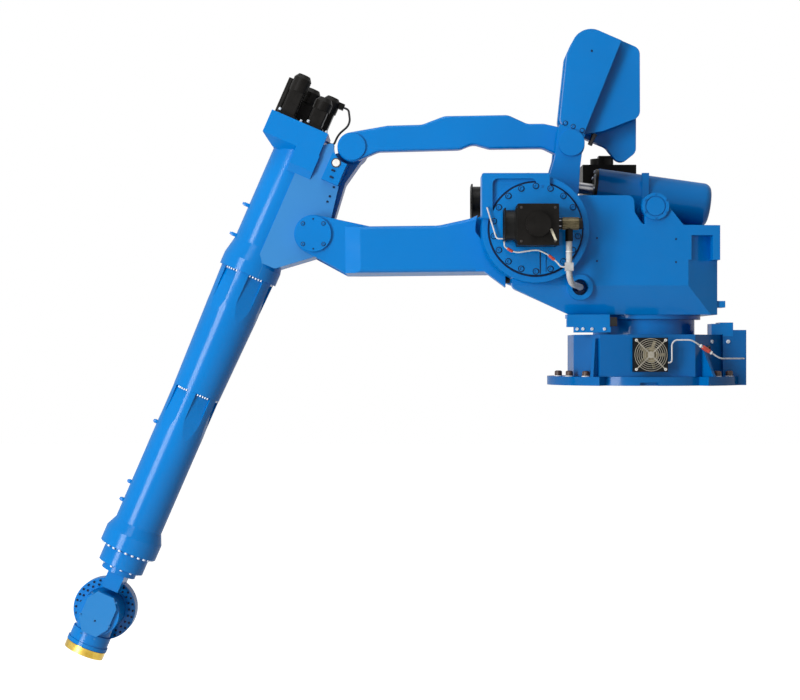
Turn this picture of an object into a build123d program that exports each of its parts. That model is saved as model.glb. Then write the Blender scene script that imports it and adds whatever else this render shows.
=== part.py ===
from build123d import *
from math import acos, atan2, cos, hypot, radians, sin, tan
import os

# Overall skeleton, side view with the arm pointing to -X and the near side at -Y
shoulder_height = 700.0
shoulder_offset = 530.0
lower_arm_length = 1000.0
lower_arm_droop = 0.6
crank_length = 440.0
forearm_tilt = 23.5
forearm_offset = 218.0
forearm_length = 2000.0
tool_length = 205.0

# Gaps between pieces
running_gap = 0.3
side_gap = 10.0
turntable_gap = 0.5

# Depth stack across the arm
link_thickness = 80.0
link_middle = -100.0
fork_plate = 55.0
arm_half_width = 230.0
arm_cheek_outer = 195.0
arm_cheek_plate = 60.0
swivel_half_width = 330.0
casting_half_width = 127.0

# Base
base_plate_thickness = 40.0
base_plate_radius = 385.0
base_lug_radius = 448.0
base_lug_angle = 57.0
base_bolt_edge = 28.0
base_bolt_hole = 22.0
base_bolt_angles = (45.0, 30.0, 15.0)
base_body_height = 230.0
base_body_apothem = 340.0
base_body_flat = 238.0
base_body_flat_right = 190.0
base_body_corner = 160.0
base_body_side = 340.0
gusset_angle = 52.0
gusset_height = 172.0
gusset_thickness = 16.0
gusset_top = 430.0
gusset_right_height = 156.0
gusset_right_top = 362.0
base_notch_offset = -22.0
base_notch_width = 80.0
base_notch_height = 14.0
base_notch_depth = 30.0
slew_ring_radius = 235.0
slew_ring_top = 300.0

# Connector box behind the base
connector_box_inset = 1.0
connector_box_width = 360.0
connector_box_height = 222.0
connector_block_height = 252.0
connector_block_length = 60.0
connector_block_width = 120.0
connector_low_block = 280.0
connector_high_block = 286.0
connector_low_length = 38.0
connector_high_length = 61.0

# Cooling fans
base_fan_size = 152.0
base_fan_depth = 60.0
base_fan_offset = -17.0
base_fan_height = 139.0
near_fan_size = 144.0
near_fan_depth = 57.0
far_fan_size = 172.0
far_fan_depth = 60.0
fan_flange_share = 0.12
fan_duct_share = 0.93
fan_bore_share = 0.88
fan_hub_share = 0.44
fan_sweep_share = 0.84
fan_strut_share = 0.06
fan_spindle_share = 0.3
fan_blades = 5
fan_blade_share = 0.5
fan_blade_pitch = 35.0
fan_blade_plate = 3.0
guard_wire = 2.4
guard_ring_shares = (0.96, 0.84, 0.72, 0.60, 0.48, 0.36)
guard_disc_share = 0.2
guard_strut_share = 1.22

# Swivel casting
swivel_bottom_radius = 262.0
swivel_flange_height = 40.0
swivel_floor_top = 480.0
swivel_rear = 303.0
swivel_rear_wall = 90.0
swivel_cheek_top = 855.0
swivel_rear_top = 721.0
swivel_front = 632.0
swivel_front_height = 440.0
swivel_front_foot = 370.0
swivel_top_rear = 84.0
swivel_front_wall = 585.0
swivel_floor_low = 476.0
swivel_far_foot = 290.0
swivel_far_front = 590.0
swivel_chamfer_height = 130.0
swivel_chamfer_depth = 62.0
swivel_rear_chamfer = 143.0
rear_pocket_low = 565.0
rear_pocket_high = 676.0
rear_pocket_left = 175.0
rear_pocket_right = 270.0
swivel_rear_chamfer_depth = 80.0
swivel_corner = 30.0
boss_radius = 240.0
boss_depth = 60.0
boss_recess_radius = 214.0
boss_recess_depth = 26.0
pad_left = 770.0
pad_right = 467.0
pad_top = 948.0
pad_bottom = 745.0
pad_corner = 8.0
window_left = 722.0
window_right = 527.0
window_top = 923.0
window_bottom = 760.0
window_corner = 24.0
cable_hole_offset = -326.0
cable_hole_height = 442.0
cable_hole_radius = 36.0
cable_boss_radius = 58.0
cable_boss_depth = 12.0
trunnion_offset = 12.0
trunnion_height = 805.0
trunnion_radius = 36.0
trunnion_cap_radius = 61.0
trunnion_cap_depth = 14.0
trunnion_groove_radius = 46.0
trunnion_groove_depth = 4.0
trunnion_seat_shares = ((-1.51, -0.41), (-0.95, -1.33), (0.98, -1.345))
trunnion_pedestal = 96.0
trunnion_pedestal_foot = 128.0
trunnion_post_width = 116.0
trunnion_post_top = 866.0
shaft_radius = 80.0
deck_front = -290.0
deck_height = 600.0
deck_far = 420.0
rear_lug_depth = 38.0
rear_lug_width = 120.0
rear_lug_height = 30.0
rear_lug_level = 368.0
rear_lug_side = -180.0
cable_hole_depth = 90.0

# Shoulder motors
motor_plate_radius = 205.0
motor_plate_ear = 18.0
near_motor_size = 182.0
near_motor_rise = 10.0
near_motor_corner = 5.0
near_motor_depth = 150.0
near_motor_cap_share = 0.3
near_motor_cap_depth = 22.0
far_motor_size = 200.0
far_motor_depth = 230.0
far_motor_offset = -98.0
far_motor_rise = 182.0
far_cover_radius = 215.0
far_cover_depth = 30.0
slew_motor_size = 200.0
slew_motor_offset = -160.0
slew_motor_top = 1047.0
slew_motor_foot = 216.0
slew_motor_foot_depth = 24.0
slew_motor_cap_share = 0.62
slew_motor_cap_height = 34.0
slew_plug_width = 68.0
slew_plug_height = 48.0
slew_plug_shift = 16.0
slew_head_low = 900.0
slew_head_size = 256.0
slew_head_shift = 28.0
near_plug_radius = 25.0
near_plug_length = 108.0
near_plug_rise = 18.0
near_plug_elbow = 50.0
near_plug_drop = 78.0
near_plug_elbow_radius = 17.0

# Stop bracket below the swivel
stop_bracket_width = 193.0
stop_bracket_height = 56.5
stop_bracket_depth = 40.0
stop_bracket_foot = 98.0
stop_bracket_plate = 18.0
stop_bracket_offset = -288.5
stop_plate_width = 165.0
stop_plate_offset = -270.5
stop_plate_height = 24.5
stop_block_width = 32.0
stop_block_height = 40.0
stop_block_drop = 12.0
stop_block_depth = 34.0

# Lower arm
arm_top = 31.0
arm_bottom = 181.0
arm_fork_length = 145.0
arm_fork_lead = 263.0
arm_facet = 70.0
arm_elbow_radius = 88.0
arm_hub_radius = 190.0
arm_hub_lead = 430.0
arm_rise_lead = 285.0
arm_rise = 61.0
arm_blend = 160.0
arm_edge = 16.0
arm_clear_radius = 262.0
elbow_pin_radius = 50.0
elbow_cover_radius = 82.0
elbow_cover_depth = 14.0
stop_wedge_length = 95.0
stop_wedge_drop = 72.0
stop_wedge_depth = 80.0
stop_wedge_end = 128.0
bumper_depth = 22.0
bumper_height = 34.0
balance_crank = 257.0
balance_crank_plate = 25.0
balance_crank_gap = 60.0
balance_crank_radius = 36.0

# Lever, counterweight and link
lever_hub_radius = 150.0
lever_throat = 230.0
lever_length = 500.0
lever_low_width = 150.0
lever_top_width = 125.0
lever_right_shares = (0.80, 0.55, 0.32)
lever_left_shares = (-0.20, -0.28, -0.54)
lever_height_shares = (0.5, 0.7, 0.94)
lever_round = 50.0
link_pin_radius = 35.0
link_pin_head = 60.0
link_pin_head_depth = 12.0
weight_width = 203.0
weight_height = 460.0
weight_corner = 90.0
weight_round = 40.0
weight_near_shares = ((0.18, 0.0), (-0.41, 0.0), (-0.88, 0.66), (-0.88, 1.0), (0.12, 1.0))
weight_near_rounds = (0.0, weight_round, weight_round, weight_corner, 0.0)
weight_middle_shares = ((0.18, 0.01), (0.56, 0.12), (1.20, 0.395), (0.58, 1.02), (0.12, 1.02))
weight_middle_rounds = (0.0, weight_round, weight_round, weight_round, 0.0)
weight_far_shares = ((-0.41, 0.0), (-0.88, 0.66), (-0.88, 1.0), (0.58, 1.0), (1.47, 0.085),
                     (1.25, -0.094), (0.78, 0.014))
weight_far_rounds = (weight_round, weight_round, weight_corner, weight_round, weight_round,
                     weight_round, weight_round)
link_eye_radius = 68.0
link_cap_radius = 62.0
link_cap_depth = 10.0
link_height = 139.0
link_edge = 10.0
link_round = 60.0
link_top_shares = ((0.163, 0.69), (0.321, 0.71), (0.425, 0.985), (0.717, 1.0), (0.805, 0.70), (0.881, 0.70))
link_bottom_shares = ((0.875, -0.10), (0.630, -0.10), (0.556, 0.055), (0.495, -0.12), (0.12, -0.16))

# Forearm
tube_radius = 123.0
tube_flare_radius = 140.0
tube_flare_start = 150.0
tube_flare_end = 230.0
tube_joint_one = 288.0
tube_joint_share = 0.428
tube_mid_radius = 130.0
tube_low_radius = 113.0
tube_neck_lead = 124.0
tube_end_lead = 74.0
tube_end_radius = 136.0
wrist_reach = 316.0
tube_bore = 85.0
pocket_count = 6
pocket_angle = -65.0
pocket_depth = 18.0
pocket_run = 220.0
pocket_width = 74.0
motor_box_top = 450.0
motor_box_height = 109.0
motor_box_width = 281.0
motor_box_shift = -45.5
motor_box_depth = 300.0
motor_box_taper = 57.0
motor_box_skirt = 40.0
casting_left = 25.0
casting_bottom = 215.0
casting_bottom_inner = 115.0
casting_right = 263.0
casting_right_low = 90.0
casting_near_edge = ((260.0, 104.0), (234.0, 250.0), (234.0, 376.0), (130.0, 423.0))
casting_far_edge = ((270.0, 114.0), (251.0, 279.0), (280.0, 420.0))
casting_round = 30.0
casting_elbow_radius = 90.0
casting_boss_left = -17.0
casting_boss_right = 100.0
casting_boss_low = 260.0
casting_boss_foot = 225.0
casting_boss_face = 150.0
link_lug_radius = 70.0
link_clear_radius = 84.0
panel_low = 248.0
panel_high = 380.0
panel_left = 148.0
panel_right = 230.0
panel_depth = 32.0
wrist_motor_flange = 92.0
wrist_motor_flange_depth = 14.0
wrist_motor_size = 70.0
wrist_motor_body_share = 0.6
wrist_motor_cap = 84.0
wrist_motor_heights = (210.0, 152.0, 183.0, 185.0)
wrist_motor_across = (-118.0, 14.0, -66.0, 32.0)
wrist_motor_depth = (-72.0, -68.0, 75.0, 75.0)
wrist_motor_dome = 20.0
wrist_motor_dome_taper = 35.0
wrist_stalk = (-166.0, -40.0)
wrist_stalk_radius = 18.0
wrist_stalk_height = 178.0
wrist_plug_end = 96.0
wrist_plug_size = 30.0
wrist_plug_drop = 24.0
motor_corner_share = 0.12

# Wrist
wrist_ring_radius = 108.0
wrist_ring_length = 86.0
wrist_step_radius = 82.0
wrist_step_length = 30.0
wrist_neck_width = 80.0
wrist_neck_near = -55.0
wrist_neck_end = 118.0
wrist_disc_radius = 146.0
wrist_disc_near = 100.0
wrist_disc_far = 185.0
wrist_pin_radius = 45.0
wrist_block_near = -100.0
wrist_block_radius = 98.0
wrist_cover_outline = ((40.0, 100.0), (72.0, 57.0), (72.0, -45.0), (36.0, -97.0),
                       (-36.0, -97.0), (-72.0, -45.0), (-72.0, 57.0), (-40.0, 100.0))
wrist_cover_depth = 18.0
wrist_neck_radius = 84.0
tool_unit_radius = 92.0
tool_unit_end = 170.0
tool_flange_radius = 95.0
tool_bolt_circle = 140.0
tool_bolt_hole = 14.0
tool_bolts = 6
tool_pilot_radius = 50.0
tool_pilot_depth = 10.0

# Balancer
balancer_radius = 104.0
balancer_middle = 130.0
balancer_slope = 8.0
balancer_rise = 78.0
balancer_rear = 303.0
balancer_front = -235.0
balancer_round = 34.0
balancer_rod_radius = 28.0
balancer_eye_radius = 34.0
balancer_eye_plate = 44.0
balancer_bore_depth = 330.0
balancer_saddle = 50.0
balancer_strap = 32.0
balancer_strap_near = 12.0
balancer_strap_far = 40.0

# Conduit and leads
conduit_radius = 13.5
conduit_dip = 14.0
conduit_bends = (62.0, 34.0)
clip_size = 36.0
clip_drop = 95.0
lead_radius = 3.4
near_lead_drop = 22.0
near_lead_path = ((-97.0, -112.0), (1.0, -97.0), (44.0, -116.0), (84.0, -148.0))
ear_lead_seat = (-218.0, 92.0)
ear_lead_turn = (-176.0, -48.0)
ear_lead_out = 16.0
ear_lead_side = 56.0
bend_share = 0.45
bend_limit = 120.0
base_lead_start = 104.0
base_lead_out = 18.0
base_lead_top = 205.0
base_lead_turn = 165.0
base_lead_low = 122.0
base_lead_mid = (300.0, -348.0)
base_lead_end = (425.0, -262.0)
base_lead_bends = (12.0, 26.0, 52.0, 60.0, 44.0)
motor_lead_radius = 5.0
motor_lead_out = 24.0
motor_lead_path = ((155.0, 102.0), (122.0, 35.0))
motor_lead_low = 20.0

# Worked out places
shoulder = Vector(-shoulder_offset, 0, shoulder_height)
arm_along = Vector(cos(radians(lower_arm_droop)), 0, sin(radians(lower_arm_droop)))
arm_up = Vector(-sin(radians(lower_arm_droop)), 0, cos(radians(lower_arm_droop)))
elbow = shoulder - arm_along * lower_arm_length
tilt_up = Vector(sin(radians(forearm_tilt)), 0, cos(radians(forearm_tilt)))
tilt_right = Vector(cos(radians(forearm_tilt)), 0, -sin(radians(forearm_tilt)))
link_rear = shoulder + tilt_up * crank_length
link_front = elbow + tilt_up * crank_length
forearm_foot = elbow - tilt_right * forearm_offset
wrist_centre = forearm_foot - tilt_up * forearm_length
balance_along = Vector(cos(radians(balancer_slope)), 0, -sin(radians(balancer_slope)))
balance_up = Vector(sin(radians(balancer_slope)), 0, cos(radians(balancer_slope)))
trunnion = Vector(trunnion_offset, 0, trunnion_height)
link_near = link_middle - link_thickness / 2
link_far = link_middle + link_thickness / 2
lever_near = link_near - side_gap - fork_plate
lever_far = link_far + side_gap + fork_plate
hub_near = lever_far + side_gap
cheek_inner = arm_half_width + side_gap
base_bolt_radius = base_lug_radius - base_bolt_edge
connector_box_end = base_lug_radius - connector_box_inset
arm_body_start = lower_arm_length - arm_fork_length
tube_end = forearm_length - wrist_reach
tube_joint_two = tube_joint_one + (tube_end - tube_joint_one) * tube_joint_share
wrist_ring_end = tube_end + wrist_ring_length
wrist_step_end = wrist_ring_end + wrist_step_length
box_low = motor_box_top - motor_box_height
boss_face = -swivel_half_width - boss_depth
plate_face = boss_face - motor_plate_ear - turntable_gap


def across(point, depth):
    # A plane facing the near side, its x along X and its y along Z
    return Plane(origin=(point.X, depth, point.Z), x_dir=(1, 0, 0), z_dir=(0, -1, 0))


def tilted(point, depth):
    # A plane facing the near side, its y along the forearm and the lever
    return Plane(origin=(point.X, depth, point.Z), x_dir=tuple(tilt_right), z_dir=(0, -1, 0))


def level(point, depth):
    # A plane facing the near side, its x along the lower arm and the link
    return Plane(origin=(point.X, depth, point.Z), x_dir=tuple(arm_along), z_dir=(0, -1, 0))


def forearm_section(station):
    # A plane across the forearm, its x to the elbow side and its y along Y
    spot = forearm_foot + tilt_up * station
    return Plane(origin=tuple(spot), x_dir=tuple(tilt_right), z_dir=tuple(tilt_up))


def touch(x, y, radius, side):
    # Where a line from a point touches a circle about the origin
    angle = atan2(y, x) + side * acos(radius / hypot(x, y))
    return (radius * cos(angle), radius * sin(angle))


def soft_bends(route):
    # Arc radii of a lead, each taking a share of the shorter run at its corner
    bends = []
    for before, corner, after in zip(route, route[1:], route[2:]):
        come = Vector(*corner) - Vector(*before)
        go = Vector(*after) - Vector(*corner)
        turn = radians(come.get_angle(go))
        bends.append(min(bend_limit, bend_share * min(come.length, go.length) / tan(turn / 2)))
    return bends


def save(piece, name):
    piece.label = name
    export_step(piece, "parts/" + name + ".step")


os.makedirs("parts", exist_ok=True)
ground = Vector(0, 0, 0)

# Base plate with lugs and bolt holes
with BuildPart() as base_plate:
    with BuildSketch(Plane.XY):
        Circle(base_plate_radius)
        for side in (0, 180):
            low = radians(side - base_lug_angle)
            high = radians(side + base_lug_angle)
            with BuildLine():
                CenterArc((0, 0), base_lug_radius, side - base_lug_angle, base_lug_angle + base_lug_angle)
                Line((0, 0), (base_lug_radius * cos(low), base_lug_radius * sin(low)))
                Line((base_lug_radius * cos(high), base_lug_radius * sin(high)), (0, 0))
            make_face()
    extrude(amount=base_plate_thickness)
    with BuildSketch(Plane.XY):
        for angle in base_bolt_angles:
            reach_x = base_bolt_radius * cos(radians(angle))
            reach_y = base_bolt_radius * sin(radians(angle))
            with Locations((-reach_x, reach_y), (-reach_x, -reach_y)):
                Circle(base_bolt_hole / 2)
        for angle in base_bolt_angles[:2]:
            reach_x = base_bolt_radius * cos(radians(angle))
            reach_y = base_bolt_radius * sin(radians(angle))
            with Locations((reach_x, reach_y), (reach_x, -reach_y)):
                Circle(base_bolt_hole / 2)
    extrude(amount=base_plate_thickness, mode=Mode.SUBTRACT)
    with BuildSketch(Plane.XY):
        with Locations((base_notch_offset, -base_plate_radius)):
            Rectangle(base_notch_width, base_notch_depth + base_notch_depth)
    extrude(amount=base_notch_height, mode=Mode.SUBTRACT)
save(base_plate.part, "base_plate")

# Octagonal base body
with BuildPart() as base_body:
    with BuildSketch(Plane.XY.offset(base_plate_thickness)):
        with BuildLine():
            Polyline((-base_body_flat, -base_body_apothem), (base_body_flat_right, -base_body_apothem),
                     (base_body_side, -base_body_corner), (base_body_side, base_body_corner),
                     (base_body_flat_right, base_body_apothem), (-base_body_flat, base_body_apothem),
                     (-base_body_side, base_body_corner), (-base_body_side, -base_body_corner), close=True)
        make_face()
    extrude(amount=base_body_height - base_plate_thickness)
    for angle in (gusset_angle, -gusset_angle, 180 - gusset_angle, 180 + gusset_angle):
        outward = Vector(cos(radians(angle)), sin(radians(angle)), 0)
        aside = Vector(-sin(radians(angle)), cos(radians(angle)), 0)
        rib_face = aside * (gusset_thickness / 2)
        rib_top = gusset_right_top if outward.X > 0 else gusset_top
        rib_height = gusset_right_height if outward.X > 0 else gusset_height
        with BuildSketch(Plane(origin=tuple(rib_face), x_dir=tuple(outward), z_dir=tuple(aside))):
            with BuildLine():
                Polyline((base_body_apothem, -base_plate_thickness), (base_lug_radius, -base_plate_thickness),
                         (rib_top, -base_plate_thickness - rib_height),
                         (base_body_apothem, -base_plate_thickness - rib_height), close=True)
            make_face()
        extrude(amount=-gusset_thickness)
save(base_body.part, "base_body")

# Slewing ring between base and swivel
with BuildPart() as slew_ring:
    with BuildSketch(Plane.XY.offset(base_body_height)):
        Circle(slew_ring_radius)
    extrude(amount=slew_ring_top - base_body_height)
save(slew_ring.part, "slew_ring")

# Connector box at the rear of the base
with BuildPart() as connector_box:
    box_length = connector_box_end - base_body_side
    with BuildSketch(Plane.XY.offset(base_plate_thickness)):
        with Locations((base_body_side + box_length / 2, 0)):
            Rectangle(box_length, connector_box_width)
    extrude(amount=connector_box_height - base_plate_thickness)
    with BuildSketch(Plane.XY.offset(connector_box_height)):
        with Locations((connector_box_end - connector_block_length / 2, 0)):
            Rectangle(connector_block_length, connector_box_width)
    extrude(amount=connector_block_height - connector_box_height)
    # Feet of the box beside the round plate
    with BuildSketch(Plane.XY):
        with Locations((base_body_side + box_length / 2, 0)):
            Rectangle(box_length, connector_box_width)
        Circle(base_lug_radius + turntable_gap, mode=Mode.SUBTRACT)
    extrude(amount=base_plate_thickness)
save(connector_box.part, "connector_box")

with BuildPart() as connector_glands:
    block_y = (connector_box_width - connector_block_width) / 2
    block_x = connector_box_end - connector_block_length
    with BuildSketch(Plane.XY.offset(connector_box_height)):
        high_x = block_x - connector_high_length / 2
        with Locations((high_x, -block_y)):
            Rectangle(connector_high_length, connector_block_width)
    extrude(amount=connector_high_block - connector_box_height)
    with BuildSketch(Plane.XY.offset(base_body_height)):
        low_x = block_x - connector_high_length - connector_low_length / 2
        with Locations((low_x, -block_y)):
            Rectangle(connector_low_length, connector_block_width)
    extrude(amount=connector_low_block - base_body_height)
    with BuildSketch(Plane.XY.offset(connector_box_height)):
        with Locations((base_body_side / 2, 0)):
            Rectangle(base_body_side, connector_box_width)
    extrude(amount=base_body_height - connector_box_height, mode=Mode.SUBTRACT)
save(connector_glands.part, "connector_glands")


def fan_frame(seat, size, depth):
    # Two square flanges on a round duct, with struts that carry the hub
    flange = depth * fan_flange_share
    duct = size * fan_duct_share / 2
    bore = size * fan_bore_share / 2
    hub = size * fan_hub_share / 2
    strut = size * fan_strut_share
    with BuildPart() as frame:
        with BuildSketch(seat):
            Rectangle(size, size)
        extrude(amount=flange)
        with BuildSketch(seat):
            Circle(duct)
        extrude(amount=depth)
        with BuildSketch(seat.offset(depth - flange)):
            Rectangle(size, size)
        extrude(amount=flange)
        with BuildSketch(seat.offset(flange)):
            Circle(bore)
        extrude(amount=depth, mode=Mode.SUBTRACT)
        with BuildSketch(seat.offset(flange)):
            Circle(hub)
        extrude(amount=flange)
        with BuildSketch(seat.offset(flange)):
            Rectangle(size * fan_bore_share, strut)
            Rectangle(strut, size * fan_bore_share)
        extrude(amount=flange)
        with BuildSketch(seat.offset(flange)):
            Circle(hub * fan_spindle_share)
        extrude(amount=depth / 2)
    return frame.part


def fan_rotor(seat, size, depth):
    # Hub and pitched blades that turn inside the duct
    flange = depth * fan_flange_share
    low = flange + flange + flange
    span = depth - low - flange
    hub = size * fan_hub_share / 2
    sweep = size * fan_sweep_share / 2
    with BuildPart() as rotor:
        with BuildSketch(seat.offset(low)):
            Circle(hub)
        extrude(amount=span)
        with BuildSketch(seat.offset(low)):
            Circle(hub * fan_spindle_share + running_gap)
        extrude(amount=depth / 2 + flange - low + running_gap, mode=Mode.SUBTRACT)
        for number in range(fan_blades):
            spin = radians(number * 360 / fan_blades)
            pitch = radians(fan_blade_pitch)
            radial = seat.x_dir * cos(spin) + seat.y_dir * sin(spin)
            round_way = seat.y_dir * cos(spin) - seat.x_dir * sin(spin)
            facing = seat.z_dir * cos(pitch) + round_way * sin(pitch)
            spot = seat.origin + seat.z_dir * (low + span / 2)
            with BuildSketch(Plane(origin=tuple(spot), x_dir=tuple(radial), z_dir=tuple(facing))):
                with Locations(((hub + sweep) / 2, 0)):
                    Rectangle(sweep - hub + fan_blade_plate, span * fan_blade_share)
            extrude(amount=fan_blade_plate / 2, both=True)
    return rotor.part


def fan_guard(seat, size, depth):
    # Wire rings on two diagonal struts across the mouth of the duct
    reach = size / 2
    with BuildPart() as guard:
        with BuildSketch(seat.offset(depth)):
            for share in guard_ring_shares:
                Circle(reach * share)
                Circle(reach * share - guard_wire, mode=Mode.SUBTRACT)
            Circle(reach * guard_disc_share)
            with Locations(Rotation(0, 0, 45)):
                Rectangle(size * guard_strut_share, guard_wire + guard_wire)
                Rectangle(guard_wire + guard_wire, size * guard_strut_share)
        extrude(amount=guard_wire)
    return guard.part


base_fan_seat = across(Vector(base_fan_offset, 0, base_fan_height), -base_body_apothem)
save(fan_frame(base_fan_seat, base_fan_size, base_fan_depth), "base_fan_frame")
save(fan_rotor(base_fan_seat, base_fan_size, base_fan_depth), "base_fan_rotor")
save(fan_guard(base_fan_seat, base_fan_size, base_fan_depth), "base_fan_guard")

# Swivel casting: turntable, floor, two cheeks, rear wall, trunnion post and near boss
swivel_low = slew_ring_top + swivel_flange_height / 2
near_face = -swivel_half_width
cable_spot = Vector(cable_hole_offset, 0, cable_hole_height)
pad_middle = (-(pad_left + pad_right) / 2, (pad_top + pad_bottom) / 2)
trunnion_seat = [(trunnion_offset + across_share * trunnion_cap_radius,
                  trunnion_height + rise_share * trunnion_cap_radius)
                 for across_share, rise_share in trunnion_seat_shares]
with BuildPart() as swivel_casting:
    with BuildSketch(Plane.XY.offset(slew_ring_top + turntable_gap)):
        Circle(swivel_bottom_radius)
    extrude(amount=swivel_flange_height)
    with BuildSketch(across(ground, swivel_half_width)):
        with BuildLine():
            Polyline((-swivel_far_foot, swivel_low), (-swivel_front_wall, swivel_floor_low),
                     (-swivel_front_wall, swivel_floor_top),
                     (swivel_rear - swivel_rear_wall, swivel_floor_top),
                     (swivel_rear - swivel_rear_wall, swivel_rear_top), (swivel_rear, swivel_rear_top),
                     (swivel_rear, swivel_low), close=True)
        make_face()
    extrude(amount=swivel_half_width + swivel_half_width)
    # Near cheek with the trunnion seat in its top edge
    with BuildSketch(across(ground, -cheek_inner)):
        with BuildLine():
            FilletPolyline((-swivel_front_foot, swivel_low), (-swivel_front, swivel_front_height),
                           (-swivel_front, shoulder_height), (-shoulder_offset, swivel_cheek_top),
                           (-swivel_top_rear, swivel_cheek_top), *trunnion_seat,
                           (swivel_rear, swivel_rear_top), (swivel_rear, swivel_low), close=True,
                           radius=[swivel_corner, swivel_corner, 0, 0, swivel_corner, swivel_corner,
                                   swivel_corner, 0, swivel_corner / 2, swivel_corner])
        make_face()
        with Locations((-shoulder_offset, shoulder_height)):
            Circle(boss_radius)
        with Locations(pad_middle):
            RectangleRounded(pad_left - pad_right, pad_top - pad_bottom, pad_corner)
        with BuildLine():
            Polyline((trunnion_offset - trunnion_pedestal / 2, swivel_rear_top),
                     (trunnion_offset - trunnion_pedestal / 2, trunnion_height),
                     (trunnion_offset + trunnion_cap_radius, trunnion_height),
                     (trunnion_offset + trunnion_pedestal_foot, swivel_rear_top), close=True)
        make_face()
    extrude(amount=swivel_half_width - cheek_inner)
    with BuildSketch(across(ground, near_face)):
        with Locations((-shoulder_offset, shoulder_height)):
            Circle(boss_radius)
        with Locations(pad_middle):
            RectangleRounded(pad_left - pad_right, pad_top - pad_bottom, pad_corner)
    extrude(amount=boss_depth)
    with BuildSketch(across(shoulder, boss_face + boss_recess_depth)):
        Circle(boss_recess_radius)
    extrude(amount=boss_recess_depth, mode=Mode.SUBTRACT)
    # Far cheek, rear deck and the post that takes the far end of the trunnion
    with BuildSketch(across(ground, swivel_half_width)):
        with BuildLine():
            Polyline((-swivel_far_foot, swivel_low), (-swivel_far_front, swivel_floor_top),
                     (-swivel_far_front, shoulder_height), (-shoulder_offset, swivel_cheek_top),
                     (deck_front, swivel_cheek_top), (deck_front, deck_height),
                     (swivel_rear, deck_height), (swivel_rear, swivel_low), close=True)
        make_face()
        with Locations((-shoulder_offset, shoulder_height)):
            Circle(boss_radius)
        with Locations((trunnion_offset, deck_height)):
            Rectangle(trunnion_post_width, trunnion_post_top - deck_height, align=(Align.CENTER, Align.MIN))
    extrude(amount=swivel_half_width - cheek_inner)
    with BuildSketch(Plane.XY.offset(swivel_floor_top)):
        with Locations(((deck_front + swivel_rear) / 2, (cheek_inner + deck_far) / 2)):
            Rectangle(swivel_rear - deck_front, deck_far - cheek_inner)
    extrude(amount=deck_height - swivel_floor_top)
    # Sloped lower edge and sloped rear corner of the near cheek
    with BuildSketch(Plane.YZ.offset(-swivel_front)):
        with BuildLine():
            Polyline((near_face, swivel_low), (near_face, swivel_low + swivel_chamfer_height),
                     (near_face + swivel_chamfer_depth, swivel_low), close=True)
        make_face()
    extrude(amount=swivel_front + swivel_rear, mode=Mode.SUBTRACT)
    with BuildSketch(Plane.XY.offset(swivel_low)):
        with BuildLine():
            Polyline((swivel_rear - swivel_rear_chamfer, near_face), (swivel_rear, near_face),
                     (swivel_rear, near_face + swivel_rear_chamfer_depth), close=True)
        make_face()
    extrude(amount=rear_pocket_low - swivel_low, mode=Mode.SUBTRACT)
    # Pocket above the sloped corner, between a rim and a post, and a lug on the rear wall
    chamfer_start = swivel_rear - swivel_rear_chamfer
    chamfer_rate = swivel_rear_chamfer_depth / swivel_rear_chamfer
    with BuildSketch(Plane.XY.offset(rear_pocket_low)):
        with BuildLine():
            Polyline((rear_pocket_left, near_face), (rear_pocket_right, near_face),
                     (rear_pocket_right, near_face + (rear_pocket_right - chamfer_start) * chamfer_rate),
                     (rear_pocket_left, near_face + (rear_pocket_left - chamfer_start) * chamfer_rate),
                     close=True)
        make_face()
    extrude(amount=rear_pocket_high - rear_pocket_low, mode=Mode.SUBTRACT)
    with BuildSketch(Plane.YZ.offset(swivel_rear)):
        with Locations((rear_lug_side, rear_lug_level)):
            Rectangle(rear_lug_width, rear_lug_height)
    extrude(amount=rear_lug_depth)
    # Cable boss with its blind hole, shaft bore and trunnion bores
    with BuildSketch(across(cable_spot, near_face + swivel_chamfer_depth)):
        Circle(cable_boss_radius)
    extrude(amount=swivel_chamfer_depth + cable_boss_depth)
    with BuildSketch(across(cable_spot, near_face + cable_hole_depth)):
        Circle(cable_hole_radius)
    extrude(amount=cable_hole_depth + cable_boss_depth, mode=Mode.SUBTRACT)
    with BuildSketch(across(shoulder, swivel_half_width)):
        Circle(shaft_radius)
    extrude(amount=swivel_half_width + swivel_half_width + boss_depth, mode=Mode.SUBTRACT)
    # Bearing cap of the trunnion in the near cheek, with a groove in its face
    with BuildSketch(across(trunnion, -cheek_inner)):
        Circle(trunnion_cap_radius)
    extrude(amount=swivel_half_width - cheek_inner + trunnion_cap_depth)
    with BuildSketch(across(trunnion, near_face - trunnion_cap_depth + trunnion_groove_depth)):
        Circle(trunnion_groove_radius)
        Circle(trunnion_groove_radius - trunnion_groove_depth, mode=Mode.SUBTRACT)
    extrude(amount=trunnion_groove_depth, mode=Mode.SUBTRACT)
    with BuildSketch(across(trunnion, swivel_half_width)):
        Circle(trunnion_radius + running_gap)
    extrude(amount=swivel_half_width + swivel_half_width, mode=Mode.SUBTRACT)
save(swivel_casting.part, "swivel_casting")

# Shaft that carries the lower arm hub and the lever hub
with BuildPart() as shoulder_shaft:
    with BuildSketch(across(shoulder, swivel_half_width)):
        Circle(shaft_radius)
    extrude(amount=swivel_half_width + swivel_half_width + boss_depth - boss_recess_depth)
save(shoulder_shaft.part, "shoulder_shaft")

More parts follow.
